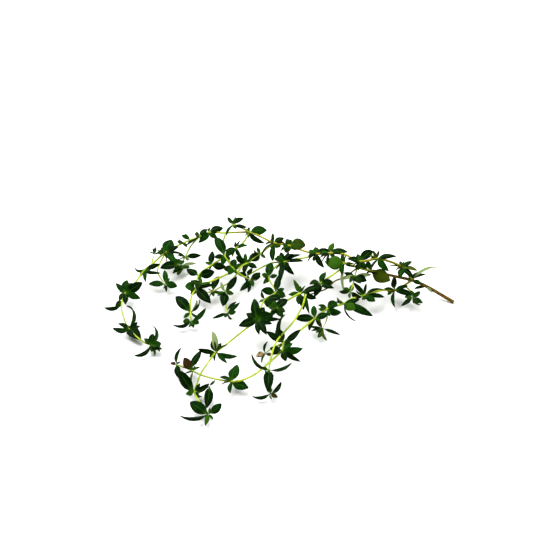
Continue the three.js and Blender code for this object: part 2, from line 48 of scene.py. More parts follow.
# Each shoot is a smooth curve through its points, in millimetres, with a radius for each end. Its bark is
# green unless it says otherwise. "ripe" is the share of its length, from the foot, that has yellowed, and
# "whole" joins its leaves to it as one piece.
# A whorl is the number of the point that it grows at, how many small young leaves fill it (left out,
# chance says), and its larger leaves. A leaf is its heading and rise in degrees and its length in
# millimetres, then its width and its tint where it has its own. Heading 0 is +X and 90 is +Y.
# A leaf's last part may give:
#   bend   degrees that it curls from root to tip
#   roll   degrees that it is turned about its own length
#   fold   how steeply its two halves rise from the midrib
#   slide  millimetres that it grows beyond the whorl's point
shoots = {
    "main_stem": {
        "radii": [0.7, 0.42], "bark": "woody",
        "path": [[70, 10, 0.8], [59, 15, 5], [53, 14, 9], [48, 14, 10.5], [40, 15, 12], [33, 17, 12.5],
            [26, 20, 13], [23, 22, 13]],
        "whorls": [
            [1, 0, [-170, -5, 4.9, 1.9], [-50, -12, 4, 1.1, "pale"]],
            [2, 2, [23, 12, 11.8, 1.8, "pale", {"roll": 10, "bend": 90}], [22, 8, 6, 2.1],
             [50, 18, 4.4, 2.6, "shade"], [-25, -8, 4, 2.6, "shade"], [110, 20, 3, 2]],
            [4, 1, [-26, -11, 8.6, 5.8, "olive", {"slide": 3.6, "roll": 42, "bend": 20, "fold": 0}],
             [176, 0, 5.6, 3.1], [112, 20, 5, 2.2, {"slide": 3.4}], [25, 10, 2.6, 1.4]],
            [6, [175, 3, 8, 6.4, "young", {"roll": -50, "bend": 20, "fold": 0}],
             [-30, -8, 4.6, 3.2, "shade"], [-93, -20, 13, 3.4, "pale", {"roll": 20, "bend": 20}],
             [-100, -12, 6, 2.6], [110, 20, 4], [-5, -5, 4, 2.4]],
        ],
    },
    "back_shoot": {
        "radii": [0.48, 0.32], "ripe": 0.62,
        "path": [[53, 14, 9], [49, 16, 14], [43, 19, 15], [39, 19, 16], [32, 18, 15.5], [26, 23, 15],
            [20, 25, 14], [15, 27, 12], [9.5, 28.5, 12.5], [4, 31, 13], [-2.5, 33, 13], [-7, 37, 12.5],
            [-12.5, 41, 12], [-23, 42, 11], [-29.5, 43.5, 10], [-33.5, 42, 9], [-40, 38.5, 8.5],
            [-47, 33, 8], [-52.5, 26, 7], [-55, 23, 7], [-58, 17, 6], [-62, 11, 5], [-63, 4, 4],
            [-62, -1, 3.5], [-59, -8.5, 3], [-53, -15.5, 3], [-50, -17.5, 3]],
        "whorls": [
            [1, 2, [174, 3, 6, 1.9], [115, 20, 3, 1.5], [80, 20, 2.8, 1.3], [30, 15, 4.5, 2.8],
             [-18, -4, 6, 3.4, "olive"], [-105, -12, 5.2, 3], [-52, -12, 6.8, 3, "shade"],
             [-160, -5, 2.8, 2.6]],
            [3, 2, [2, 6, 7.8, 3.2, {"roll": 15, "bend": 90}], [75, 20, 3.8, 1.5, "red"],
             [115, 20, 4.2, 1.3], [-55, -10, 7.5, 3], [-118, -12, 6.8, 3.2, "shade"],
             [-170, 0, 3.4, 2.6, "shade"], [170, 15, 4, 1.2, "olive"]],
            [4, [176, 10, 5.4, 3.8, {"roll": -25}], [39, 14, 7, 3.8, {"roll": 35}], [-100, -12, 4.4, 2.8],
             [-50, -15, 4.4, 2.4], [110, 20, 3.4, 2.2]],
            [6, 3, [68, 20, 5, 2.6, "young", {"roll": 40}], [-2, 6, 7.6, 3.2, {"roll": 30, "bend": 60}],
             [-175, 0, 4, 2.8], [-128, -12, 5.2, 2], [-98, -10, 6.6, 2.2, "shade"], [-40, -12, 4, 1.6]],
            [7, [100, 20, 3.2, 2.6], [40, 15, 3.8, 2.2], [155, 10, 3.6, 2.4], [-135, -12, 5.6, 2.2],
             [-67, -10, 7.8, 2.6], [5, 8, 5.6, 3.2, {"roll": 25}], [-105, -12, 3.8, 2.8, "shade"],
             [-165, -5, 3.6, 2.6, "shade"]],
            [9, 2, [-6, 2, 6.6, 5.2, "moss", {"roll": 25}], [112, 20, 3.4, 2.4], [168, 5, 3, 2.2],
             [-150, -8, 3.6, 2.7], [-110, -12, 3.8, 3.3, "shade"], [-35, -10, 3.4, 2.4],
             [80, 20, 3, 2.2, "shade"]],
            [10, 3, [95, 20, 4.6, 2], [25, 10, 4.8, 3.2, {"roll": 35}], [-165, -3, 3.4, 3.1],
             [-8, -2, 5, 2, "shade"], [-35, -8, 3.6, 3.1, "shade"], [-91, -14, 9.3, 3.1],
             [-125, -12, 8.5, 2.2], [-60, -10, 3.2, 1.5]],
            [12, 2, [0, 8, 7.4, 4.4, {"bend": 50, "roll": 40, "fold": 0.1}],
             [-38, -10, 8.4, 2.3, {"roll": 50, "bend": 90}], [152, 12, 3.8, 1.9], [95, 20, 2.6, 1.5],
             [-95, -10, 2.8, 1.7]],
            [14, 2, [14, 10, 6.4, 4.4, "shade", {"roll": 15}], [85, 20, 2.4, 1.3],
             [-130, -12, 6.8, 2.8, {"roll": -60, "bend": 90}], [-35, -10, 4.5, 2.4]],
            [15, 2, [38, 18, 4.8, 2.7], [-140, -8, 7, 2.7], [-50, -15, 2.6, 1.5], [125, 20, 2.6, 1.5]],
            [16, 2, [152, 12, 4.3, 1.8, {"slide": -2.8}], [128, 18, 3.8, 1.6, {"slide": -2.8}],
             [175, 5, 2.6, 1.6], [-50, -12, 2.6, 1.4]],
            [17, 3, [66, 20, 6.3, 5.4, {"bend": 60, "fold": 0}], [-165, 0, 3.2, 3.2, "shade"],
             [22, 12, 5.8, 2.4, "shade"], [-10, 0, 7.4, 1.4], [-55, -10, 4, 3, "shade"],
             [-30, -8, 4, 2.8, "shade"], [-52, -12, 8, 2.8], [110, 20, 3, 2]],
            [19, 2, [20, 10, 6.6, 2.2], [-6, 0, 7.4, 1.5, {"slide": 1.6}], [-85, -12, 6.4, 1.9],
             [140, 12, 4.2, 1.5, {"slide": 2, "roll": -60, "bend": 90}], [-30, -5, 3.4, 1.4]],
            [21, [133, 15, 6, 2.4], [85, 20, 5.8, 3.4], [30, 15, 8, 4, {"bend": 60, "roll": 20}],
             [-25, -5, 6.8, 3], [-88, -12, 6, 2.5], [-120, -15, 4.5, 2.2], [60, 20, 5, 3],
             [-176, -4, 7, 2.1, {"slide": 6.5, "roll": -55, "bend": 80}], [-130, -15, 4, 2.4, {"slide": 4}]],
            [24, [45, 15, 4.5, 1.6], [100, 25, 9.5, 3.8, {"slide": -0.5, "bend": 140, "roll": 46}],
             [20, 5, 4.5, 2], [160, 20, 5, 2.6], [176, 4, 6.5, 2.8, {"bend": 100, "roll": -50}],
             [-53, -4, 9.7, 4.8, {"slide": -1.8, "bend": 25}]],
            [26, [135, 15, 4, 2], [80, 20, 5, 3], [92, 16, 9.2, 3.4, {"bend": 120, "roll": 55}],
             [-146, -9, 7.6, 2.8, {"bend": 100, "roll": -62}], [-40, -5, 5, 2.6], [5, 5, 4.2, 2.8],
             [-75, -5, 3.4, 2.2]],
        ],
    },
    "front_shoot": {
        "radii": [0.46, 0.32], "ripe": 0.2,
        "path": [[53, 14, 9], [49, 13.5, 6], [46, 11.5, 6], [41.5, 11.5, 6], [34, 7.5, 7], [28.5, 5, 7],
            [25, 1, 8], [18.5, -2, 8], [13.5, -6.5, 7], [7, -15, 8], [1, -21.5, 8], [0.5, -25.5, 8],
            [-4, -29.5, 6], [-9.5, -35.5, 5.5], [-15, -38.5, 5], [-18.5, -38, 4], [-25, -36.5, 4],
            [-30, -34.5, 4], [-33, -32.5, 4], [-35.5, -30.5, 3.5], [-39.5, -28, 3]],
        "whorls": [
            [2, 3, [90, 20, 6.2, 3.2], [-93, -12, 8.6, 2.6], [-178, 0, 4.8, 1.9], [-16, -5, 8, 2.5],
             [14, 9, 5.8, 2], [-30, -8, 4.4, 1.8, "shade"], [-140, -8, 3, 2]],
            [4, 3, [14, 8, 7.6, 3], [-8, -2, 7.6, 2.1], [-38, -8, 4.8, 3.2], [82, 22, 5, 1.7, "shade"],
             [135, 18, 7.2, 2.1, "shade"], [-110, -10, 2.6, 1.7], [150, 15, 3, 1.7]],
            [6, 3, [15, 8, 6.6, 2.3], [-8, 0, 4.8, 3],
             [-27, -10, 12, 3.3, {"slide": -1, "bend": 30, "fold": 0.2}],
             [-60, -15, 9, 2.2, {"roll": 60, "bend": 70}], [-32, -4, 5.2, 4.2, "young", {"roll": -10}],
             [165, 2, 3, 1.5]],
            [7, 2, [30, 4, 4.8, 3.6, {"bend": 90}], [-18, -3, 5.6, 3.4, {"roll": 40, "bend": 90}],
             [160, 10, 4, 1.9], [-172, 0, 3.4, 1.8], [-80, -12, 3.6, 1.8]],
            [8, 2, [92, 20, 5.7, 2.4], [179, 0, 7.9, 3.2, {"roll": -20}], [22, 10, 5.7, 2.9],
             [-115, -12, 6.2, 2.3], [-30, -5, 2.6, 1.4]],
            [10, 2, [84, 24, 12, 4.2, {"bend": 90, "roll": -55}], [112, 22, 6.5, 3.8], [143, 10, 8.2, 2.6],
             [42, 10, 9, 2.8, {"roll": 40, "bend": 50}], [-5, 0, 3, 1.6], [-120, -10, 3, 1.4]],
            [11, 3, [-34, -10, 8.4, 2.1], [4, 4, 7.8, 3.5, {"roll": 38, "bend": 70}], [35, 15, 5, 2.6],
             [172, 8, 4.6, 2.6], [-75, -15, 4.8, 2.8], [-155, -8, 4, 1.9]],
            [15, 2, [72, 22, 7, 4.6, {"bend": 60, "roll": 30}], [160, 5, 4.8, 1.7], [-165, -5, 3.8, 1.5],
             [-94, -15, 4.9, 2.7], [-18, -8, 7, 4, {"roll": 28, "bend": 40}], [55, 15, 5, 2.6]],
            [18, 2, [125, 15, 3.5], [30, 10, 3], [-92, -15, 6, 3.6, "olive", {"roll": 35, "fold": 0}],
             [-165, -5, 3], [125, 26, 5.6, 4, "red", {"slide": 1.8, "roll": -30, "fold": 0}],
             [60, 20, 9.2, 3, {"slide": 3.4, "roll": 40}]],
            [20, 1, [76, 20, 7.2, 3.2, {"roll": -15, "bend": 60}], [165, 5, 2.4, 2, "red"],
             [-74, -8, 7.2, 3], [40, 10, 1.8, 1]],
        ],
    },
    "cross_shoot": {
        "radii": [0.44, 0.34],
        "path": [[26, 20, 13], [25, 18.5, 12], [23, 17, 11], [16, 11, 10], [11, 7, 9], [8.5, -3, 10],
            [5, -11.5, 10], [2, -16.5, 10], [-1.5, -22.5, 10], [-3, -27, 9.5], [-4, -31.5, 8],
            [-4.5, -34, 6], [-4.5, -41, 3], [-4, -43, 2.5]],
        "whorls": [
            [3, 3, [62, 20, 5.5, 2.5], [-140, -10, 6.8, 4.3], [6, 5, 5, 3.2], [-22, -5, 5.8, 3.2, "shade"],
             [-112, -12, 7.4, 3.2, "shade"], [-165, 0, 4.4, 3, "shade"]],
            [11, 2, [134, 15, 9.4, 2.6, {"roll": -70, "bend": 80}],
             [18, 8, 9, 2.6, {"roll": 68, "bend": 60}], [-92, -12, 10, 3.9, {"fold": 0.5, "roll": 0}],
             [160, 10, 3, 1.6]],
            [13, 1, [-175, -4, 6.8, 2.8, {"roll": -60, "bend": 70}],
             [51, 15, 6.5, 2.6, {"roll": 60, "bend": 70}], [-30, -5, 3, 1.8, "red"], [110, 15, 3.4, 1.8]],
        ],
    },
    "long_branch": {
        "radii": [0.42, 0.32],
        "path": [[11, 7, 9], [8, 6, 9], [2.5, 1.5, 9], [-1.5, -2.5, 8.5], [-9, -7.5, 6.5], [-13, -12, 7],
            [-21, -21, 6.5], [-24.5, -25, 6.5], [-28, -32.5, 7], [-30, -37, 6.5], [-31, -39.5, 5],
            [-32, -43, 3.5], [-31, -45.5, 3], [-28.5, -50, 3], [-26.5, -53, 2.5]],
        "whorls": [
            [1, 2, [115, 20, 6.6, 2.8, "young"], [-175, -5, 4.8, 2.1], [-100, -12, 5.4, 2.8],
             [55, 20, 4, 2.4], [-80, -20, 7.5, 2.6], [14, 10, 9.6, 3.2, "shade"], [92, 20, 3.2, 2.4],
             [-28, -8, 5.6, 3, "shade", {"slide": -3, "roll": 50, "bend": 90}],
             [-80, -14, 10.4, 1.9, {"slide": -3}]],
            [3, [38, 15, 6, 3.6], [165, 5, 3.4, 2.6], [-20, -5, 3.6, 2.6], [-60, -10, 4.6, 2.8],
             [110, 20, 3.6, 2.4], [-125, -10, 4.6, 2.6]],
            [7, 3, [104, 22, 5.5, 2.6, {"bend": 80}], [101, 28, 8.6, 2.6, "pale", {"bend": 50, "roll": 40}],
             [173, 8, 7, 2.2, {"roll": -40}], [-140, -10, 3.2, 2], [60, 20, 4.4, 1.8],
             [28, 20, 5.2, 2.2, {"roll": -60, "bend": 60}], [-11, -2, 8.3, 2.6, {"roll": 60, "bend": 70}],
             [-47, -12, 6.2, 1.8]],
            [11, 3, [60, 20, 4], [-165, -5, 3.2, 2], [128, 20, 10.8, 4.6, {"bend": 30}], [-55, -15, 3],
             [32, 10, 6.5, 2.6, {"roll": 30}]],
            [14, 1, [145, 9, 8.5, 4.4, {"roll": -20}], [-171, 6, 10.8, 2.6, {"roll": -60, "bend": 80}],
             [42, 10, 6.3, 3.4, {"roll": 35, "bend": 50}], [-99, -8, 5.4, 1.8, "young"], [80, 20, 2.4, 1.1]],
        ],
    },
    "cluster_shoot": {
        "radii": [0.4, 0.3], "whole": True,
        "path": [[15, 27, 12], [11, 26, 11], [6, 26, 10], [2, 25, 9.5], [-3.5, 27, 7], [-11, 23, 5.5],
            [-13, 21.5, 5]],
        "whorls": [
            [3, 6, [150, 20, 4, 2.4], [115, 20, 4.6, 2.8], [68, 20, 4.8, 2.8], [22, 10, 7.6, 2.8],
             [0, 3, 7.8, 2.8], [-58, -12, 7.4, 2.8], [-100, -14, 9.4, 3.2], [-135, -10, 5, 2.6],
             [-75, -8, 5, 3.4, "shade"], [35, 18, 5, 3.4, "shade"], [170, 8, 4.4, 2.8, "shade"]],
            [6, 2, [60, 20, 4, 2.6], [165, 5, 4.4, 2.2], [-100, -10, 3.4, 2]],
        ],
    },
    "star_shoot": {
        "radii": [0.38, 0.34], "whole": True,
        "path": [[2, 25, 9.5], [-2, 22, 9], [-4.5, 17, 8], [-1.8, 7.8, 8], [-6, 3, 8.5], [-9, -10.5, 10]],
        "whorls": [
            [2, 2, [82, 20, 7, 3.5], [-122, -12, 4, 1.8], [15, 5, 3.5], [150, 15, 3, 1.8]],
            [3, 2, [173, 5, 5.6, 3.3], [80, 20, 8, 2.8], [25, 10, 3.8, 1.8], [-28, -5, 4.4, 3.3],
             [-72, -12, 4.4, 2]],
            [4, 2, [102, 20, 4.4, 2.8, {"roll": -50, "bend": 90}], [-2, 10, 6.4, 4, "shade"],
             [-55, -8, 4.8, 3.4], [-150, -8, 2.8, 1.3]],
            [5, 2, [98, 20, 9.2, 3.9], [148, 12, 5, 3], [-158, -5, 7.7, 3.7], [-64, -10, 8, 3],
             [-84, -12, 7.2, 2.2, "shade"], [8, 10, 6.2, 4.8], [-18, -5, 6, 2.2], [2, 0, 9, 1.8],
             [60, 20, 6, 3.4, "shade"]],
        ],
    },
    "looped_shoot": {
        "radii": [0.4, 0.34], "whole": True,
        "path": [[-12.5, 41, 12], [-16, 38, 17], [-19, 38.5, 18], [-22, 35.5, 16], [-23, 33, 14],
            [-22.5, 26.5, 11.5], [-21, 23.5, 11], [-19.2, 19.6, 11], [-15, 16, 9.5], [-12, 15.6, 8]],
        "whorls": [
            [2, 2, [124, 12, 4.6, 1.7], [35, 12, 5.2, 3.9], [75, 20, 3.8, 2.8, "shade"], [-10, -3, 5.8, 1.7],
             [-118, -12, 6.3, 2.3], [-60, -8, 2.4, 1.6]],
            [5, 2, [117, 20, 9.6, 4.3], [35, 15, 4.6, 2.8], [-170, -3, 4.2, 2, "shade"],
             [-100, -12, 5.2, 2.6], [-30, -10, 2.6, 1.4]],
            [7, 2, [80, 20, 3.8, 2.9], [-165, -5, 3.4, 2.7], [-110, -12, 3.8, 2.9], [10, 8, 3.6, 1.6],
             [-60, -12, 3.4, 1.8]],
            [9, 0, [-128, -12, 6.8, 2.3], [-97, -12, 6.6, 2.1], [-70, -10, 3.8, 2],
             [34, 15, 5, 2.5, "shade", {"bend": 90}], [15, 5, 4.4, 2.4], [-10, 0, 2.2, 1.2, "red"]],
        ],
    },
    "inner_shoot": {
        "radii": [0.4, 0.34], "whole": True,
        "path": [[-12.5, 41, 12], [-15, 35.5, 11], [-18, 33, 10], [-22, 32, 7], [-28, 27, 6], [-33, 20.5, 6],
            [-34, 13, 5.5], [-35.5, 8, 5], [-35.5, 1, 3.5], [-35, -4, 3]],
        "whorls": [
            [2, 2, [95, 22, 3, 1.4], [62, 20, 4.2, 1.7], [14, 8, 5, 2.5], [-160, -5, 5, 2.5],
             [-62, -12, 5.2, 2]],
            [4, 1, [88, 22, 6.5, 2.9, "shade"], [-10, -3, 6.2, 3.3], [155, 10, 2.8, 1.4],
             [-130, -10, 2, 1.2]],
            [5, 1, [150, 12, 5.7, 3.9], [12, 8, 6.6, 4, "shade", {"roll": 25}], [-70, -12, 2.4, 1.4]],
            [6, 3, [168, 8, 4.2, 3.9], [4, 8, 7.5, 3.5, "shade"], [-47, -12, 9.4, 4.1], [-165, -5, 3, 1.3],
             [60, 18, 3.6, 2.4], [-110, -10, 3.6, 2.4]],
            [8, 1, [132, 15, 9.4, 4.4], [60, 15, 6.8, 2.8, {"roll": 70, "bend": 80}],
             [68, 18, 6, 2.2, "pale", {"roll": 60, "bend": 80}], [-130, -10, 3.8, 1.6]],
            [9, 2, [46, 15, 8.2, 3.2, {"roll": 65, "bend": 60}],
             [-170, -4, 7.4, 3, {"roll": -60, "bend": 70}], [-178, 0, 3.2, 2.7], [-15, -5, 3.2, 2.3],
             [-72, -10, 3.2, 1.7]],
        ],
    },
    "middle_shoot": {
        "radii": [0.42, 0.34], "whole": True,
        "path": [[-2.5, 33, 13], [-5, 32, 11], [-8, 29.5, 10], [-13.5, 24.5, 9], [-15.5, 23.5, 8.5],
            [-22, 18.5, 8], [-28, 15, 7.5], [-31.5, 12.5, 8]],
        "whorls": [
            [2, 2, [-146, -6, 6, 4.1, {"roll": -25, "fold": 0.1}], [-40, -15, 2.8], [110, 20, 3.2]],
            [3, 2, [145, 12, 5.4, 2.6], [95, 20, 4.7, 1.6], [-25, -8, 4.6, 2.2],
             [-100, -12, 5.5, 2.8, "shade"], [40, 15, 3.4]],
            [7, 2, [163, 12, 4.6, 2.2], [12, 8, 3.6, 1.8], [100, 20, 3, 1.8]],
        ],
    },
    "middle_branch": {
        "radii": [0.36, 0.32], "whole": True,
        "path": [[-15.5, 23.5, 8.5], [-18, 19, 7], [-20, 16.5, 6], [-24.5, 14.5, 4.5], [-27, 13, 4],
            [-31, 13, 3]],
        "whorls": [
            [4, 2, [68, 20, 7.2, 3], [-15, -5, 4.2, 1.4], [-80, -10, 2.6, 1.6]],
        ],
    },
    "hanging_shoot": {
        "radii": [0.34, 0.3], "whole": True,
        "path": [[-20, 16.5, 6], [-22, 12, 4.5], [-21.5, 5, 3], [-21, 1, 3]],
        "whorls": [
            [1, 2, [112, 20, 5, 1.6, "pale"], [54, 20, 8.2, 2.8, "shade"], [-170, -5, 3.6, 1.4],
             [-95, -10, 7.4, 3.8], [-15, -5, 3.4, 2]],
            [3, 1, [-155, -4, 6.5, 1.5], [44, 13, 7, 1.8], [8, 5, 3.5, 2.1], [-110, -10, 2.4, 1.5],
             [44, 14, 5.5, 1.5, {"slide": -2.6}]],
        ],
    },
    "fork_twig": {
        "radii": [0.34, 0.3], "whole": True,
        "path": [[50, 13.5, 6.5], [52.5, 10.5, 6], [53, 8, 5]],
        "whorls": [
            [2, 2, [-140, -8, 6.5, 1.9], [40, 15, 4.2, 1.9], [-35, -8, 4.6, 2.1], [-62, -10, 3.8, 2.2],
             [172, 0, 3.2, 2.6, "shade"], [100, 18, 3.4, 2.2]],
        ],
    },
    "tuft_twig": {
        "radii": [0.36, 0.3], "whole": True,
        "path": [[31, 17.5, 12.5], [30, 14.5, 11], [29.5, 12.5, 10], [28.5, 9, 9], [28, 8, 8]],
        "whorls": [
            [1, 2, [6, 0, 6.6, 1.8, "pale"], [-30, -8, 5.2, 3.4, "shade"], [-62, -12, 4.4, 3.2],
             [-160, -6, 5.6, 1.5, "pale"], [-120, -10, 4.4, 2.2, "shade"], [168, 8, 4.6, 1.8, "shade"]],
            [4, 1, [180, 0, 4.6, 1.8], [-30, -8, 5, 2.8, {"roll": 40, "bend": 60}],
             [70, 20, 3.6, 1.9, "young"], [150, 15, 3.2, 1.8]],
        ],
    },
    "dry_twig": {
        "radii": [0.34, 0.26], "bark": "dry", "whole": True,
        "path": [[31, 17.5, 12.5], [26, 16, 9], [22, 14, 8.5], [18.5, 10.5, 7.5], [12.5, 8.5, 6.5]],
    },
    "front_twig": {
        "radii": [0.34, 0.3], "whole": True,
        "path": [[18.5, -2, 8], [18.5, -3.5, 7], [18, -6, 5.5], [16.5, -9, 4]],
        "whorls": [
            [3, 2, [122, 18, 5.2, 1.7, "red"], [172, 3, 5.3, 1.1], [-170, -8, 4.6, 1.1],
             [-76, -10, 6.3, 1.5, "olive", {"roll": 35, "bend": 80}], [-25, -4, 7.6, 1.4],
             [-140, -8, 3.6, 1.3]],
        ],
    },
    "bud_twig": {
        "radii": [0.34, 0.3], "whole": True,
        "path": [[1, -21.5, 8], [-3, -22, 6], [-6, -23, 4]],
        "whorls": [
            [2, 1, [-160, -8, 3.6, 2.4, "dry"], [-150, 0, 3, 1.8, "dry"], [75, 25, 5, 1.7],
             [-10, -5, 3.2, 1.4, "red"]],
        ],
    },
    "side_twig": {
        "radii": [0.34, 0.3], "whole": True,
        "path": [[-33.5, 42, 9], [-37, 38, 7], [-39, 34, 5], [-40, 32, 4], [-40.5, 30, 3.5]],
        "whorls": [
            [2, 2, [2, 3, 6.3, 2.3], [172, 3, 3.4, 1.3], [-50, -10, 2.6, 1.1, "pale"]],
            [4, 2, [6, 4, 6, 1.3, "pale"], [-128, -10, 5.5, 2.1], [-20, -5, 3.4, 2.5, "shade"],
             [115, 18, 3.4, 2], [-85, -8, 3, 1.8]],
        ],
    },
    "curled_twig": {
        "radii": [0.34, 0.3], "whole": True,
        "path": [[-47, 33, 8], [-49.5, 27, 6], [-50, 24, 5], [-48.5, 21, 4], [-46.5, 18, 3.5]],
        "whorls": [
            [4, 2, [178, 0, 6.8, 3], [-12, -5, 5, 3.1], [-80, -8, 4.4, 1.5], [97, 20, 6.6, 2.3],
             [62, 20, 3.2, 1.2]],
        ],
    },
    "red_twig": {
        "radii": [0.32, 0.28], "bark": "dry", "whole": True,
        "path": [[-47, 33, 8], [-46, 28, 6.5], [-41.5, 27, 6]],
        "whorls": [
            [2, 1, [-170, -3, 7.7, 3.7], [135, 18, 4.2, 2.5, "shade"], [35, 10, 3, 1.8]],
        ],
    },
    "upright_twig": {
        "radii": [0.32, 0.28], "whole": True,
        "path": [[-52.5, 26, 7], [-52, 29, 8], [-51.5, 30.5, 9]],
        "whorls": [
            [2, 1, [100, 20, 2.8, 1.7, {"bend": 90}], [165, 15, 2, 1.3], [20, 15, 2.6, 1.5],
             [5, 5, 2.8, 1.4]],
        ],
    },
    "foot_twig": {
        "radii": [0.32, 0.28], "whole": True,
        "path": [[-32, -43, 3.5], [-29, -42, 4], [-26.5, -40.5, 4]],
        "whorls": [
            [2, 0, [48, 12, 3.4, 1], [-96, -10, 9.8, 3.6, {"bend": 30}], [-142, -4, 6, 2.4, "shade"]],
        ],
    },
}

# How far the woody end's rim reaches in the drawing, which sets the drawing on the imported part.
endRim = {"x": 70.34, "y": 9.423, "z": 0.139}
endLow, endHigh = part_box("main_stem")
shift = Vector((endHigh[0] - endRim["x"] * mm, endLow[1] - endRim["y"] * mm, endLow[2] - endRim["z"] * mm))


def cubicStep(values, gaps, w):  # one coordinate of a centripetal Catmull-Rom span
    a, b, c, d = values
    before, here, after = gaps
    slopeIn = ((b - a) / before - (c - a) / (before + here) + (c - b) / here) * here
    slopeOut = ((c - b) / here - (d - b) / (here + after) + (d - c) / after) * here
    bend = -3 * b + 3 * c - 2 * slopeIn - slopeOut
    twist = 2 * b - 2 * c + slopeIn + slopeOut
    return b + w * (slopeIn + w * (bend + w * twist))


def curvePoint(path, t):  # t counts from 0 to 1 over the shoot's points
    points = [Vector(point) for point in path]
    place = min(max(t, 0.0), 1.0) * (len(points) - 1)
    i = min(int(place), len(points) - 2)
    first = points[i - 1] if i > 0 else points[0] * 2 - points[1]
    last = points[i + 2] if i + 2 < len(points) else points[-1] * 2 - points[-2]
    four = [first, points[i], points[i + 1], last]
    gaps = [math.sqrt((four[k + 1] - four[k]).length) for k in range(3)]
    return Vector([cubicStep([p[k] for p in four], gaps, place - i) for k in range(3)])


def curveAt(shoot, t):  # place, direction and radius, in metres
    path = shoot["path"]
    nudge = 0.002
    ahead, behind = curvePoint(path, min(t + nudge, 1.0)), curvePoint(path, max(t - nudge, 0.0))
    radius = shoot["radii"][0] + (shoot["radii"][1] - shoot["radii"][0]) * t
    return curvePoint(path, t) * mm + shift, (ahead - behind).normalized(), radius * mm


def shootLength(shoot):
    steps = 200
    points = [curvePoint(shoot["path"], i / steps) for i in range(steps + 1)]
    return sum((points[i + 1] - points[i]).length for i in range(steps))


def lastPoint(shoot):
    return len(shoot["path"]) - 1


def between(value, low, high):
    return max(low, min(high, value))


def fillInputs(tree, node, inputs):
    for key, value in inputs.items():
        socket = node.inputs[key]
        if isinstance(value, bpy.types.NodeSocket):
            tree.links.new(value, socket)
        else:
            socket.default_value = value


def nodeMaker(tree):
    def make(kind, inputs=None, **settings):
        node = tree.nodes.new(kind)
        for name, value in settings.items():
            setattr(node, name, value)
        fillInputs(tree, node, inputs or {})
        return node
    return make


def mathOf(make):
    def calc(operation, a, b=0.0, c=0.0, clamp=False):
        node = make("ShaderNodeMath", {0: a, 1: b, 2: c}, operation=operation, use_clamp=clamp)
        return node.outputs[0]
    return calc


def geometryTree(name, sockets):  # a tree with named inputs
    tree = bpy.data.node_groups.new(name, "GeometryNodeTree")
    tree.interface.new_socket("Geometry", in_out="INPUT", socket_type="NodeSocketGeometry")
    tree.interface.new_socket("Geometry", in_out="OUTPUT", socket_type="NodeSocketGeometry")
    for label, kind in sockets:
        tree.interface.new_socket(label, in_out="INPUT", socket_type=f"NodeSocket{kind}")
    return tree


def grow(obj, tree, values):  # runs a tree on an object and keeps the result as its plain mesh
    modifier = obj.modifiers.new("Grow", "NODES")
    modifier.node_group = tree
    for item in tree.interface.items_tree:
        if item.item_type == "SOCKET" and item.in_out == "INPUT" and item.name in values:
            modifier[item.identifier] = values[item.name]
    bpy.context.view_layer.update()
    evaluated = obj.evaluated_get(bpy.context.evaluated_depsgraph_get())
    mesh = bpy.data.meshes.new_from_object(evaluated)
    obj.modifiers.remove(modifier)
    obj.data = mesh
    return obj


def newObject(name, data):
    obj = bpy.data.objects.new(name, data)
    bpy.context.scene.collection.objects.link(obj)
    return obj


def setAttribute(mesh, name, kind, domain, values):
    attribute = mesh.attributes.new(name, kind, domain)
    field = "vector" if kind == "FLOAT_VECTOR" else "value"
    flat = [part for value in values for part in value] if kind == "FLOAT_VECTOR" else list(values)
    attribute.data.foreach_set(field, flat)


def newMaterial(name):
    material = bpy.data.materials.new(name)
    material.use_nodes = True
    return material, nodeMaker(material.node_tree)


def finishMaterial(material, inputs):
    tree = material.node_tree
    fillInputs(tree, tree.nodes["Principled BSDF"], inputs)
    return material


def brushes(make, look):  # the short words that the materials are written in
    calc = mathOf(make)

    def read(name):
        return make("ShaderNodeAttribute", attribute_name=name).outputs["Fac"]

    def noise(place, scale, detail):
        return make("ShaderNodeTexNoise", {"Vector": place, "Scale": scale, "Detail": detail}).outputs[0]

    def times(value, name):
        return calc("MULTIPLY", value, look[name])

    def fade(value, name):  # rises smoothly from 0 at the pair's first place to 1 at its second
        inputs = {0: value, 1: look[name][0], 2: look[name][1]}
        return make("ShaderNodeMapRange", inputs, interpolation_type="SMOOTHSTEP").outputs[0]

    def paint(base, *layers):  # lays colours over a base, each as strongly as its mark
        colour = look[base] if isinstance(base, str) else base
        for mark, over in layers:
            over = look[over] if isinstance(over, str) else over
            colour = make("ShaderNodeMix", {0: mark, 6: colour, 7: over}, data_type="RGBA").outputs[2]
        return colour

    def bump(height):
        inputs = {"Height": height, "Strength": look["bump"], "Distance": look["bumpDepth"]}
        return make("ShaderNodeBump", inputs).outputs[0]

    return calc, read, noise, times, fade, paint, bump


def rgb(red, green, blue):
    return (red, green, blue, 1.0)


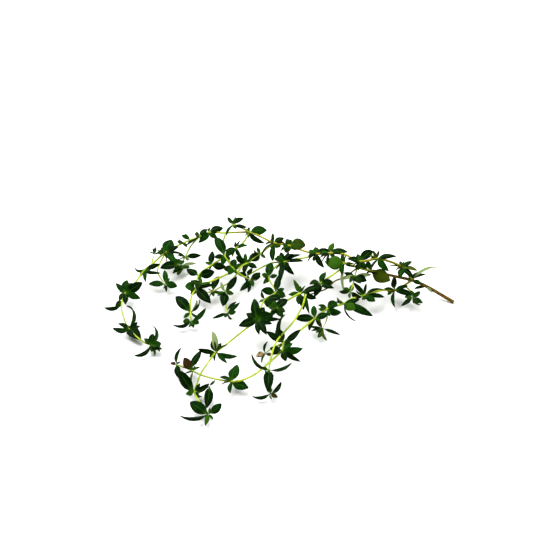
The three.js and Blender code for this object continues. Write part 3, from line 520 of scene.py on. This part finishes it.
# Pairs are the places between which a mark fades in or out: across a leaf (0 at the midrib, 0.5 at the
# edge), along it (0 at the root, 1 at the tip), or within a noise. Scales are per metre.
leafLook = {
    "dark": rgb(0.0003, 0.0068, 0.0001),
    "mid": rgb(0.0040, 0.042, 0.0008),
    "young": rgb(0.036, 0.120, 0.004),
    "olive": rgb(0.042, 0.062, 0.002),
    "red": rgb(0.040, 0.012, 0.005),
    "pale": rgb(0.23, 0.30, 0.12),
    "dry": rgb(0.36, 0.27, 0.12),
    "under": rgb(0.016, 0.056, 0.007),
    "rib": rgb(0.030, 0.100, 0.006),
    # edge: a darker rim colour, painted shade where the rolled-down leaf margin curls away from the light
    "edge": rgb(0.0020, 0.010, 0.0010),
    "blotches": 700.0, "blotchContrast": 0.9, "toneRange": (0.15, 0.85),
    "redPatches": (0.25, 0.6), "dryPatches": (0.35, 0.65),
    "stalk": (0.30, 0.04), "stalkTint": 0.65,  # brighter where the leaf joins the stem
    "ribWidth": (0.045, 0.012), "ribEnd": (0.95, 0.55), "ribTint": 0.55,
    "veins": 7.0, "veinSlant": 5.0, "veinWidth": (0.10, 0.02), "veinEnd": (0.46, 0.30), "veinTint": 0.22,
    # where the painted shade of the rolled-down rim fades in across the leaf, and how strongly it darkens
    "edgeWidth": (0.40, 0.49), "edgeTint": 0.7, "topPale": 0.75,
    "underBlotch": 0.5, "underPale": 0.9, "underRib": 0.6, "underVein": 0.3,
    "roughness": 0.34, "underRoughness": 0.60, "blotchRoughness": 0.22, "specular": 0.02,
    "glands": 3200.0, "pitSize": (0.30, 0.10), "pitDepth": 0.35,
    "veinDepth": 0.6, "blotchHeight": 0.5, "bump": 0.55, "bumpDepth": 0.00012,
}


def makeLeafMaterial(look):
    material, make = newMaterial("thyme leaf")
    calc, read, noise, times, fade, paint, bump = brushes(make, look)
    place = make("ShaderNodeTexCoord").outputs["Object"]
    uv = make("ShaderNodeSeparateXYZ", {0: make("ShaderNodeUVMap", uv_map="blade").outputs[0]})
    across, along = calc("ABSOLUTE", calc("SUBTRACT", uv.outputs[0], 0.5)), uv.outputs[1]
    blotch = noise(place, look["blotches"], 3.0)
    tone = calc("ADD", read("tone"), times(calc("SUBTRACT", blotch, 0.5), "blotchContrast"), clamp=True)
    rib = calc("MULTIPLY", fade(across, "ribWidth"), fade(along, "ribEnd"))
    slant = calc("SUBTRACT", times(along, "veins"), times(across, "veinSlant"))
    offVein = calc("ABSOLUTE", calc("SUBTRACT", calc("FRACT", slant), 0.5))
    vein = calc("MULTIPLY", fade(offVein, "veinWidth"), fade(across, "veinEnd"))
    pale, under = read("pale"), read("under")
    # The band along the rim of the upper face is painted shade of the rolled-down margin.
    top = paint(
        "dark", (fade(tone, "toneRange"), "mid"), (read("young"), "young"), (read("olive"), "olive"),
        (calc("MULTIPLY", read("red"), fade(blotch, "redPatches")), "red"),
        (times(fade(along, "stalk"), "stalkTint"), "young"),
        (times(rib, "ribTint"), "rib"), (times(vein, "veinTint"), "rib"),
        (times(fade(across, "edgeWidth"), "edgeTint"), "edge"), (times(pale, "topPale"), "pale"))
    below = paint(
        "under", (times(blotch, "underBlotch"), "mid"), (times(pale, "underPale"), "pale"),
        (times(rib, "underRib"), "pale"), (times(vein, "underVein"), "pale"))
    straw = paint("dry", (fade(blotch, "dryPatches"), "red"))
    rough = calc("ADD", look["roughness"], times(blotch, "blotchRoughness"))
    rough = calc("ADD", rough, calc("MULTIPLY", under, look["underRoughness"] - look["roughness"]))
    gland = make("ShaderNodeTexVoronoi", {"Vector": place, "Scale": look["glands"]}).outputs["Distance"]
    sunk = calc("ADD", calc("ADD", rib, times(vein, "veinDepth")), times(fade(gland, "pitSize"), "pitDepth"))
    return finishMaterial(material, {
        "Base Color": paint(top, (under, below), (read("dry"), straw)), "Roughness": rough,
        "Normal": bump(calc("SUBTRACT", times(blotch, "blotchHeight"), sunk)),
        "Specular IOR Level": look["specular"]})


stemLook = {
    "green": rgb(0.37, 0.46, 0.020),
    "shade": rgb(0.20, 0.29, 0.015),
    "bark": rgb(0.040, 0.018, 0.0012),
    "barkLight": rgb(0.155, 0.095, 0.004),
    "blush": rgb(0.27, 0.245, 0.006),  # older, yellowed parts
    "mottle": 260.0, "grain": 2600.0, "streaksRound": 9.0, "streaksAlong": 1.2,
    "shadePatches": (0.35, 0.65), "shadeStreaks": (0.45, 0.70), "streakTint": 0.35,
    "blushPatches": (0.20, 0.50),
    "barkStreaks": (0.38, 0.62), "barkSpecks": (0.50, 0.72), "speckTint": 0.5,
    "woodyFray": 0.5, "woodyEdge": (0.35, 0.65),  # where green turns to bark
    "roughness": 0.42, "grainRoughness": 0.15, "barkRoughness": 0.25, "specular": 0.10,
    "greenGrooves": 0.35, "grainHeight": 0.3, "bump": 0.6, "bumpDepth": 0.00015,
}


def makeStemMaterial(look):
    material, make = newMaterial("thyme stem")
    calc, read, noise, times, fade, paint, bump = brushes(make, look)
    place = make("ShaderNodeTexCoord").outputs["Object"]
    broad, fine = noise(place, look["mottle"], 2.0), noise(place, look["grain"], 3.0)
    lengthwise = {0: times(read("ring"), "streaksRound"), 1: times(read("run"), "streaksAlong")}
    streak = noise(make("ShaderNodeCombineXYZ", lengthwise).outputs[0], 1.0, 4.0)
    green = paint(
        "green", (fade(broad, "shadePatches"), "shade"),
        (times(fade(streak, "shadeStreaks"), "streakTint"), "shade"),
        (calc("MULTIPLY", read("blush"), fade(broad, "blushPatches")), "blush"))
    bark = paint(
        "bark", (fade(streak, "barkStreaks"), "barkLight"),
        (times(fade(fine, "barkSpecks"), "speckTint"), "bark"))
    fray = times(calc("SUBTRACT", streak, 0.5), "woodyFray")
    woody = fade(calc("ADD", read("woody"), fray, clamp=True), "woodyEdge")
    rough = calc("ADD", look["roughness"], times(fine, "grainRoughness"))
    grooves = calc("MULTIPLY", streak, calc("ADD", woody, look["greenGrooves"]))
    return finishMaterial(material, {
        "Base Color": paint(green, (woody, bark)),
        "Roughness": calc("ADD", rough, times(woody, "barkRoughness")),
        "Normal": bump(calc("ADD", grooves, times(fine, "grainHeight"))),
        "Specular IOR Level": look["specular"]})


cutLook = {
    "pith": rgb(0.30, 0.21, 0.11),
    "rind": rgb(0.035, 0.018, 0.010),
    "grain": 3000.0, "rindPatches": (0.35, 0.65),
    "roughness": 0.7, "grainRoughness": 0.2, "bump": 0.5, "bumpDepth": 0.00008,
}


def makeCutMaterial(look):
    material, make = newMaterial("cut stem end")
    calc, read, noise, times, fade, paint, bump = brushes(make, look)
    grain = noise(make("ShaderNodeTexCoord").outputs["Object"], look["grain"], 3.0)
    return finishMaterial(material, {
        "Base Color": paint("rind", (fade(grain, "rindPatches"), "pith")),
        "Roughness": calc("ADD", look["roughness"], times(grain, "grainRoughness")),
        "Normal": bump(grain)})


leafMaterial = makeLeafMaterial(leafLook)
stemMaterial = makeStemMaterial(stemLook)
cutMaterial = makeCutMaterial(cutLook)
print("materials ready")

# The one blade that every leaf is made from. Stations are shares of its length, with the tip at 1, and
# widths are shares of its full width. Drops are how far its parts lie below the upper face, in thicknesses.
bladeShape = {
    "stations": [0.0, 0.07, 0.17, 0.31, 0.47, 0.64, 0.80, 0.92],
    "widths": [0.16, 0.19, 0.56, 0.90, 1.00, 0.89, 0.61, 0.29],
    "columns": [-0.5, -0.27, 0.0, 0.27, 0.5],
    "crown": [-0.08, 0.055, 0.0, 0.055, -0.08],  # height of the upper face over the width
    "drops": {"top": 0.0, "rim": 0.5, "under": 1.0, "keel": 1.9},
}


def makeBlade(shape):
    points, below, faces, under, places = [], [], [], [], {}
    columns, rows = len(shape["columns"]), len(shape["stations"])
    inner, middle, drops = range(1, columns - 1), columns // 2, shape["drops"]

    def addPoint(row, k, drop):
        wide = shape["widths"][row]
        places[len(points)] = (shape["columns"][k] + 0.5, shape["stations"][row])
        points.append((shape["stations"][row], shape["columns"][k] * wide, shape["crown"][k] * wide))
        below.append(drop)

    for row in range(rows):
        for k in range(columns):
            addPoint(row, k, drops["top"] if k in inner else drops["rim"])
    tip = len(points)
    places[tip] = (0.5, 1.0)
    points.append((1.0, 0.0, 0.0))
    below.append(drops["rim"])
    lower = len(points)
    for row in range(rows):
        for k in inner:
            addPoint(row, k, drops["keel"] if k == middle else drops["under"])

    def topAt(row, k):
        return row * columns + k

    def lowAt(row, k):
        return lower + row * len(inner) + k - 1 if k in inner else topAt(row, k)

    def addFace(corners, isUnder):
        faces.append(corners)
        under.append(isUnder)

    for row in range(rows - 1):
        for k in range(columns - 1):
            addFace((topAt(row, k), topAt(row + 1, k), topAt(row + 1, k + 1), topAt(row, k + 1)), 0.0)
            addFace((lowAt(row, k), lowAt(row, k + 1), lowAt(row + 1, k + 1), lowAt(row + 1, k)), 1.0)
    for k in range(columns - 1):
        addFace((topAt(rows - 1, k), tip, topAt(rows - 1, k + 1)), 0.0)
        addFace((lowAt(rows - 1, k), lowAt(rows - 1, k + 1), tip), 1.0)
    addFace([topAt(0, k) for k in range(columns)] + [lowAt(0, k) for k in reversed(inner)], 1.0)

    mesh = bpy.data.meshes.new("blade")
    mesh.from_pydata(points, [], faces)
    setAttribute(mesh, "place", "FLOAT_VECTOR", "POINT", points)
    setAttribute(mesh, "below", "FLOAT", "POINT", below)
    setAttribute(mesh, "under", "FLOAT", "FACE", under)
    layer = mesh.uv_layers.new(name="blade")
    for loop in mesh.loops:
        layer.data[loop.index].uv = places[loop.vertex_index]
    mesh.shade_smooth()
    rim = {topAt(row, k) for row in range(rows) for k in (0, columns - 1)} | {tip}
    for edge in mesh.edges:
        edge.use_edge_sharp = edge.vertices[0] in rim and edge.vertices[1] in rim
    return newObject("bladeTemplate", mesh)


def leafSprayTree():  # a blade on every point, curled, folded and twisted by the point's own numbers
    sockets = [("Blade", "Object"), ("Blade thickness", "Float"), ("Table height", "Float"),
               ("Table ease", "Float"), ("Leaf", "Material")]
    tree = geometryTree("leafSpray", sockets)
    make = nodeMaker(tree)
    entry = make("NodeGroupInput")
    calc = mathOf(make)

    def vec(operation, a, b):
        return make("ShaderNodeVectorMath", {0: a, 1: b}, operation=operation).outputs[0]

    def scaled(a, amount):
        return make("ShaderNodeVectorMath", {0: a, 3: amount}, operation="SCALE").outputs[0]

    def read(name, kind="FLOAT"):
        return make("GeometryNodeInputNamedAttribute", {"Name": name}, data_type=kind).outputs["Attribute"]

    along, facing, root = [read(name, "FLOAT_VECTOR") for name in ("along", "facing", "root")]
    bend, reach, breadth = read("bend"), read("reach"), read("breadth")
    thickness = entry.outputs["Blade thickness"]
    shape = make("GeometryNodeObjectInfo", {"Object": entry.outputs["Blade"], "As Instance": True})
    spray = make("GeometryNodeInstanceOnPoints",
                 {"Points": entry.outputs["Geometry"], "Instance": shape.outputs["Geometry"]})
    real = make("GeometryNodeRealizeInstances", {"Geometry": spray.outputs[0]})
    s, y, z = make("ShaderNodeSeparateXYZ", {0: read("place", "FLOAT_VECTOR")}).outputs

    # The midrib is an arc, whose slope falls from half the bend to as much the other way.
    half = calc("MULTIPLY", bend, 0.5)
    lean = calc("SUBTRACT", half, calc("MULTIPLY", bend, s))
    perTurn = calc("DIVIDE", calc("MULTIPLY", reach, 0.5), calc("SINE", half))
    forward = calc("MULTIPLY", perTurn, calc("SUBTRACT", calc("SINE", half), calc("SINE", lean)))
    height = calc("MULTIPLY", perTurn, calc("SUBTRACT", calc("COSINE", lean), calc("COSINE", half)))
    normal = vec("SUBTRACT", scaled(facing, calc("COSINE", lean)), scaled(along, calc("SINE", lean)))
    across = vec("CROSS_PRODUCT", facing, along)
    turn = calc("MULTIPLY", read("twist"), s)
    side = vec("ADD", scaled(across, calc("COSINE", turn)), scaled(normal, calc("SINE", turn)))
    over = vec("SUBTRACT", scaled(normal, calc("COSINE", turn)), scaled(across, calc("SINE", turn)))
    folded = calc("MULTIPLY", calc("ABSOLUTE", y), read("fold"))
    lift = calc("MULTIPLY", calc("ADD", z, folded), breadth)
    depth = calc("MULTIPLY", read("below"), thickness)
    spot = vec("ADD", root, scaled(along, forward))
    for arrow, amount in ((facing, height), (side, calc("MULTIPLY", y, breadth)),
                          (over, calc("SUBTRACT", lift, depth))):
        spot = vec("ADD", spot, scaled(arrow, amount))

    # A leaf lies on the table, not in it.
    parts = make("ShaderNodeSeparateXYZ", {0: spot})
    rest = calc("SUBTRACT", calc("MULTIPLY", thickness, 2.0), depth)
    floorHere = calc("ADD", entry.outputs["Table height"], rest)
    high = calc("SMOOTH_MAX", parts.outputs[2], floorHere, entry.outputs["Table ease"])
    spot = make("ShaderNodeCombineXYZ", {0: parts.outputs[0], 1: parts.outputs[1], 2: high})
    moved = make("GeometryNodeSetPosition", {"Geometry": real.outputs[0], "Position": spot.outputs[0]})
    painted = make("GeometryNodeSetMaterial",
                   {"Geometry": moved.outputs[0], "Material": entry.outputs["Leaf"]})
    make("NodeGroupOutput", {0: painted.outputs[0]})
    return tree


def stemRodTree():  # a rounded square rod along a line of points, with a rough surface
    sockets = [("Side length", "Float"), ("Corner rounding", "Float"),
               ("Unevenness", "Float"), ("Uneven places", "Float"),
               ("Bark", "Material"), ("Cut", "Material")]
    tree = geometryTree("stemRod", sockets)
    make = nodeMaker(tree)
    entry = make("NodeGroupInput")
    calc = mathOf(make)
    line = make("GeometryNodeMeshToCurve", {0: entry.outputs["Geometry"]})
    thick = make("GeometryNodeInputNamedAttribute", {"Name": "thick"}, data_type="FLOAT")
    side = entry.outputs["Side length"]
    square = make("GeometryNodeCurvePrimitiveQuadrilateral", {"Width": side, "Height": side})
    corners = make("GeometryNodeFilletCurve",
                   {"Curve": square.outputs[0], "Count": 2, "Limit Radius": True,
                    "Radius": entry.outputs["Corner rounding"]}, mode="POLY")
    marked = make("GeometryNodeStoreNamedAttribute",
                  {"Geometry": corners.outputs[0], "Name": "ring",
                   "Value": make("GeometryNodeSplineParameter").outputs["Factor"]},
                  data_type="FLOAT", domain="POINT")
    rod = make("GeometryNodeCurveToMesh",
               {"Curve": line.outputs[0], "Profile Curve": marked.outputs[0],
                "Scale": thick.outputs["Attribute"], "Fill Caps": True})
    noise = make("ShaderNodeTexNoise", {"Scale": entry.outputs["Uneven places"], "Detail": 2.0})
    push = calc("MULTIPLY", calc("SUBTRACT", noise.outputs[0], 0.5), entry.outputs["Unevenness"])
    outward = make("ShaderNodeVectorMath", {0: make("GeometryNodeInputNormal").outputs[0], 3: push},
                   operation="SCALE")
    rough = make("GeometryNodeSetPosition", {"Geometry": rod.outputs[0], "Offset": outward.outputs[0]})
    sides = make("GeometryNodeInputMeshFaceNeighbors").outputs["Vertex Count"]
    isCap = make("FunctionNodeCompare", {2: sides, 3: 4}, data_type="INT", operation="GREATER_THAN")
    smooth = make("GeometryNodeSetShadeSmooth", {"Geometry": rough.outputs[0]})
    real = make("GeometryNodeRealizeInstances", {"Geometry": smooth.outputs[0]})
    barked = make("GeometryNodeSetMaterial",
                  {"Geometry": real.outputs[0], "Material": entry.outputs["Bark"]})
    capped = make("GeometryNodeSetMaterial",
                  {"Geometry": barked.outputs[0], "Selection": isCap.outputs[0],
                   "Material": entry.outputs["Cut"]})
    make("NodeGroupOutput", {0: capped.outputs[0]})
    return tree


leafShape = {
    "thickness": 0.16, "tableEase": 0.6,  # mm
    "widthShare": 0.45, "widthSpread": (0.88, 1.12),
    "facesTip": 0.55, "facesUp": 0.85,  # what a leaf's upper face turns to
    "roll": (-22, 22), "bend": (25, 70), "twist": (-35, 35),
    "fold": (-0.10, 0.55),
    "tone": (-0.2, 0.7), "shadeTone": -0.4,
    "smallFrom": 5.0, "smallRange": 3.0,  # mm of length over which a leaf counts as small
    "smallYoung": (0.1, 0.7),
    "tints": {"young": 0.6, "olive": 1.0, "moss": 0.4, "red": 1.0, "pale": 1.0, "dry": 1.0},
    "rootDepth": 0.55,  # of the stem's radius
    "leastOutward": 0.15, "leastFacing": 0.05,  # below these a direction is replaced
}
fillerShape = {  # the small young leaves in a whorl
    "count": (4, 6), "moreAtTip": 3,
    "spread": (25, 75), "tipSpread": (8, 45),  # degrees from the shoot
    "length": (1.8, 4.2), "tipStretch": 1.15, "widthShare": (0.34, 0.46),
    "bend": (15, 60), "twist": (-20, 20), "fold": (0.4, 0.9),
    "tone": (0.4, 1.0), "young": (0.35, 1.0), "reds": [0, 0, 0, 0.25],
}
stemShape = {
    "stepLength": 0.7, "leastSteps": 8,  # mm
    "side": 1.72, "cornerRounding": 0.42,  # of the square section, in radii
    "unevenness": 0.035, "unevenPlaces": 900.0,  # mm, and how many in a metre
    "tipTaper": 3.0, "tipWidth": 0.45,  # mm over which a free tip thins, and to what share
    "woodyFoot": 1.25, "woodyFall": 1.15, "woodyBlush": 0.5, "dryWoody": 0.62,
    "ripeFall": 3.0,
}


def partsOf(row, *kinds):
    return [part for part in row if isinstance(part, kinds)]


def squareTo(along, wanted):  # the direction across a leaf's length that is nearest the wanted one
    facing = wanted - along * wanted.dot(along)
    if facing.length < leafShape["leastFacing"]:
        facing = along.orthogonal()
    return facing.normalized()


def leafRoot(spot, tangent, radius, along):
    outward = along - tangent * along.dot(tangent)
    if outward.length < leafShape["leastOutward"]:
        outward = along.orthogonal()
    return spot + outward.normalized() * radius * leafShape["rootDepth"]


def listedLeaf(shoot, index, leaf, rng):
    numbers, tints, own = partsOf(leaf, int, float), partsOf(leaf, str), partsOf(leaf, dict)
    tint, own = (tints or [None])[0], (own or [{}])[0]
    heading, rise, length = numbers[:3]
    if len(numbers) > 3:
        width = numbers[3]
    else:
        width = length * leafShape["widthShare"] * rng.uniform(*leafShape["widthSpread"])
    t = index / lastPoint(shoot) + own.get("slide", 0) / shootLength(shoot)
    spot, tangent, radius = curveAt(shoot, t)
    turn, lift = math.radians(heading), math.radians(rise)
    along = Vector((math.cos(lift) * math.cos(turn), math.cos(lift) * math.sin(turn), math.sin(lift)))
    facing = squareTo(along, tangent * leafShape["facesTip"] + up * leafShape["facesUp"])
    roll = math.radians(own.get("roll", rng.uniform(*leafShape["roll"])))
    small = between((leafShape["smallFrom"] - length) / leafShape["smallRange"], 0.0, 1.0)
    made = {
        "root": leafRoot(spot, tangent, radius, along), "along": along,
        "facing": Quaternion(along, roll) @ facing,
        "reach": length * mm, "breadth": width * mm,
        "bend": math.radians(own.get("bend", rng.uniform(*leafShape["bend"]))),
        "twist": math.radians(rng.uniform(*leafShape["twist"])),
        "fold": own.get("fold", rng.uniform(*leafShape["fold"])),
        "tone": leafShape["shadeTone"] if tint == "shade" else rng.uniform(*leafShape["tone"]),
        "young": 0.0 if tint == "young" else small * rng.uniform(*leafShape["smallYoung"]),
        "olive": 0.0, "red": 0.0, "pale": 0.0, "dry": 0.0,
    }
    if tint in leafShape["tints"]:
        made["olive" if tint == "moss" else tint] = leafShape["tints"][tint]
    return made


def fillerLeaf(shoot, index, rng, isTip):
    f = fillerShape
    spot, tangent, radius = curveAt(shoot, index / lastPoint(shoot))
    square = Quaternion(tangent, rng.uniform(0, 2 * math.pi)) @ tangent.orthogonal().normalized()
    spread = math.radians(rng.uniform(*f["tipSpread" if isTip else "spread"]))
    along = (tangent * math.cos(spread) + square * math.sin(spread)).normalized()
    length = rng.uniform(*f["length"]) * (f["tipStretch"] if isTip else 1.0)
    return {
        "root": leafRoot(spot, tangent, radius, along), "along": along, "facing": squareTo(along, tangent),
        "reach": length * mm, "breadth": length * rng.uniform(*f["widthShare"]) * mm,
        "bend": math.radians(rng.uniform(*f["bend"])), "twist": math.radians(rng.uniform(*f["twist"])),
        "fold": rng.uniform(*f["fold"]), "tone": rng.uniform(*f["tone"]),
        "young": rng.uniform(*f["young"]), "olive": 0.0, "red": rng.choice(f["reds"]),
        "pale": 0.0, "dry": 0.0,
    }


def sprayObject(name, leaves, tree, blade):
    mesh = bpy.data.meshes.new(name)
    mesh.from_pydata([leaf["root"] for leaf in leaves], [], [])
    for key, first in leaves[0].items():
        kind = "FLOAT_VECTOR" if isinstance(first, Vector) else "FLOAT"
        setAttribute(mesh, key, kind, "POINT", [leaf[key] for leaf in leaves])
    values = {"Blade": blade, "Blade thickness": leafShape["thickness"] * mm, "Table height": 0.0,
              "Table ease": leafShape["tableEase"] * mm, "Leaf": leafMaterial}
    return grow(newObject(name, mesh), tree, values)


def whorlLeaves(name, whorl):
    shoot = shoots[name]
    index, *fillers = partsOf(whorl, int)
    rng = random.Random(f"{name} {index}")
    made = [listedLeaf(shoot, index, leaf, rng) for leaf in partsOf(whorl, list)]
    isTip = index == lastPoint(shoot)
    byChance = rng.randint(*fillerShape["count"]) + (fillerShape["moreAtTip"] if isTip else 0)
    count = fillers[0] if fillers else byChance
    return made + [fillerLeaf(shoot, index, rng, isTip) for _ in range(count)]


def stemObject(name, shoot, tree):
    form, bark = stemShape, shoot.get("bark", "green")
    length = shootLength(shoot)
    steps = max(form["leastSteps"], round(length / form["stepLength"]))
    points = []
    traits = {"thick": [], "run": [], "woody": [], "blush": []}
    for i in range(steps + 1):
        t = i / steps
        spot, _, radius = curveAt(shoot, t)
        thinned = form["tipWidth"] + (1 - form["tipWidth"]) * (1 - t) * length / form["tipTaper"]
        taper = min(1.0, thinned) if bark == "green" else 1
        woody = form["dryWoody"] if bark == "dry" else 0.0
        blush = 0.0
        if bark == "woody":
            woody = between(form["woodyFoot"] - form["woodyFall"] * t, 0.0, 1.0)
            blush = form["woodyBlush"]
        elif "ripe" in shoot:
            blush = between(form["ripeFall"] * (1 - t / shoot["ripe"]), 0.0, 1.0)
        points.append(spot)
        for key, value in zip(traits, (radius * taper, t * length, woody, blush)):
            traits[key].append(value)
    mesh = bpy.data.meshes.new(name)
    mesh.from_pydata(points, [(i, i + 1) for i in range(steps)], [])
    for key, values in traits.items():
        setAttribute(mesh, key, "FLOAT", "POINT", values)
    values = {"Side length": form["side"], "Corner rounding": form["cornerRounding"],
              "Unevenness": form["unevenness"] * mm, "Uneven places": form["unevenPlaces"],
              "Bark": stemMaterial, "Cut": cutMaterial}
    return grow(newObject(name, mesh), tree, values)


def joinObjects(parts):
    with bpy.context.temp_override(active_object=parts[0], selected_editable_objects=parts):
        bpy.ops.object.join()
    return parts[0]


def settle(piece, node):
    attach(piece, "root")
    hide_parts(node)


blade = makeBlade(bladeShape)
sprayTree, rodTree = leafSprayTree(), stemRodTree()
for name, shoot in shoots.items():
    stem = stemObject(f"{name}_look", shoot, rodTree)
    sprays = [whorlLeaves(name, whorl) for whorl in shoot.get("whorls", [])]
    if shoot.get("whole"):
        leaves = [leaf for spray in sprays for leaf in spray]
        if leaves:
            stem = joinObjects([stem, sprayObject(f"{name}_spray", leaves, sprayTree, blade)])
    else:
        for number, leaves in enumerate(sprays, 1):
            node = f"{name}_leaves_{number}"
            settle(sprayObject(f"{node}_look", leaves, sprayTree, blade), node)
    settle(stem, name)
    print("grew", name)
bpy.data.objects.remove(blade)

setting = {
    "tableColour": rgb(0.86, 0.86, 0.85), "tableFleck": rgb(0.89, 0.89, 0.88),
    "tableSize": 6.0, "tableGrain": 60.0, "tableRoughness": 0.8,
    "lamps": {
        "key": {"place": (-0.30, 0.35, 0.80), "size": 0.8, "power": 19.0},
        "fill": {"place": (0.75, -0.45, 0.80), "size": 0.8, "power": 13.0},
    },
    "surroundings": 0.14,  # strength of the white light from all round
    "elevation": 40.0,  # degrees the camera looks down
    "distance": 0.525, "lens": 85.0, "nearest": 0.01,
    "aim": (-0.0054, 0.0392, 0.0),
}


def makeTable(s):
    half = s["tableSize"] / 2
    mesh = bpy.data.meshes.new("table")
    corners = [(-half, -half, 0), (half, -half, 0), (half, half, 0), (-half, half, 0)]
    mesh.from_pydata(corners, [], [(0, 1, 2, 3)])
    material, make = newMaterial("white table")
    place = make("ShaderNodeTexCoord").outputs["Object"]
    grain = make("ShaderNodeTexNoise", {"Vector": place, "Scale": s["tableGrain"]}).outputs[0]
    tint = make("ShaderNodeMix", {0: grain, 6: s["tableColour"], 7: s["tableFleck"]}, data_type="RGBA")
    finishMaterial(material, {"Base Color": tint.outputs[2], "Roughness": s["tableRoughness"]})
    mesh.materials.append(material)
    newObject("table", mesh)


def pointAt(obj, place, aim):
    obj.location = place
    obj.rotation_euler = (Vector(aim) - Vector(place)).to_track_quat("-Z", "Y").to_euler()


def makeLamp(name, lamp):
    light = bpy.data.lights.new(name, "AREA")
    light.size, light.energy = lamp["size"], lamp["power"]
    pointAt(newObject(name, light), lamp["place"], (0, 0, 0))


def makeCamera(s):
    tilt, aim = math.radians(s["elevation"]), Vector(s["aim"])
    camera = bpy.data.cameras.new("camera")
    camera.lens, camera.clip_start = s["lens"], s["nearest"]
    holder = newObject("camera", camera)
    pointAt(holder, aim + Vector((0, -math.cos(tilt), math.sin(tilt))) * s["distance"], aim)
    bpy.context.scene.camera = holder


def makeWorld(strength):
    world = bpy.data.worlds.new("studio")
    world.use_nodes = True
    background = world.node_tree.nodes["Background"]
    background.inputs["Color"].default_value = rgb(1.0, 1.0, 1.0)
    background.inputs["Strength"].default_value = strength
    bpy.context.scene.world = world


makeTable(setting)
for lampName, lamp in setting["lamps"].items():
    makeLamp(lampName, lamp)
makeWorld(setting["surroundings"])
makeCamera(setting)
bpy.context.scene.view_settings.view_transform = "Standard"
print("scene ready")
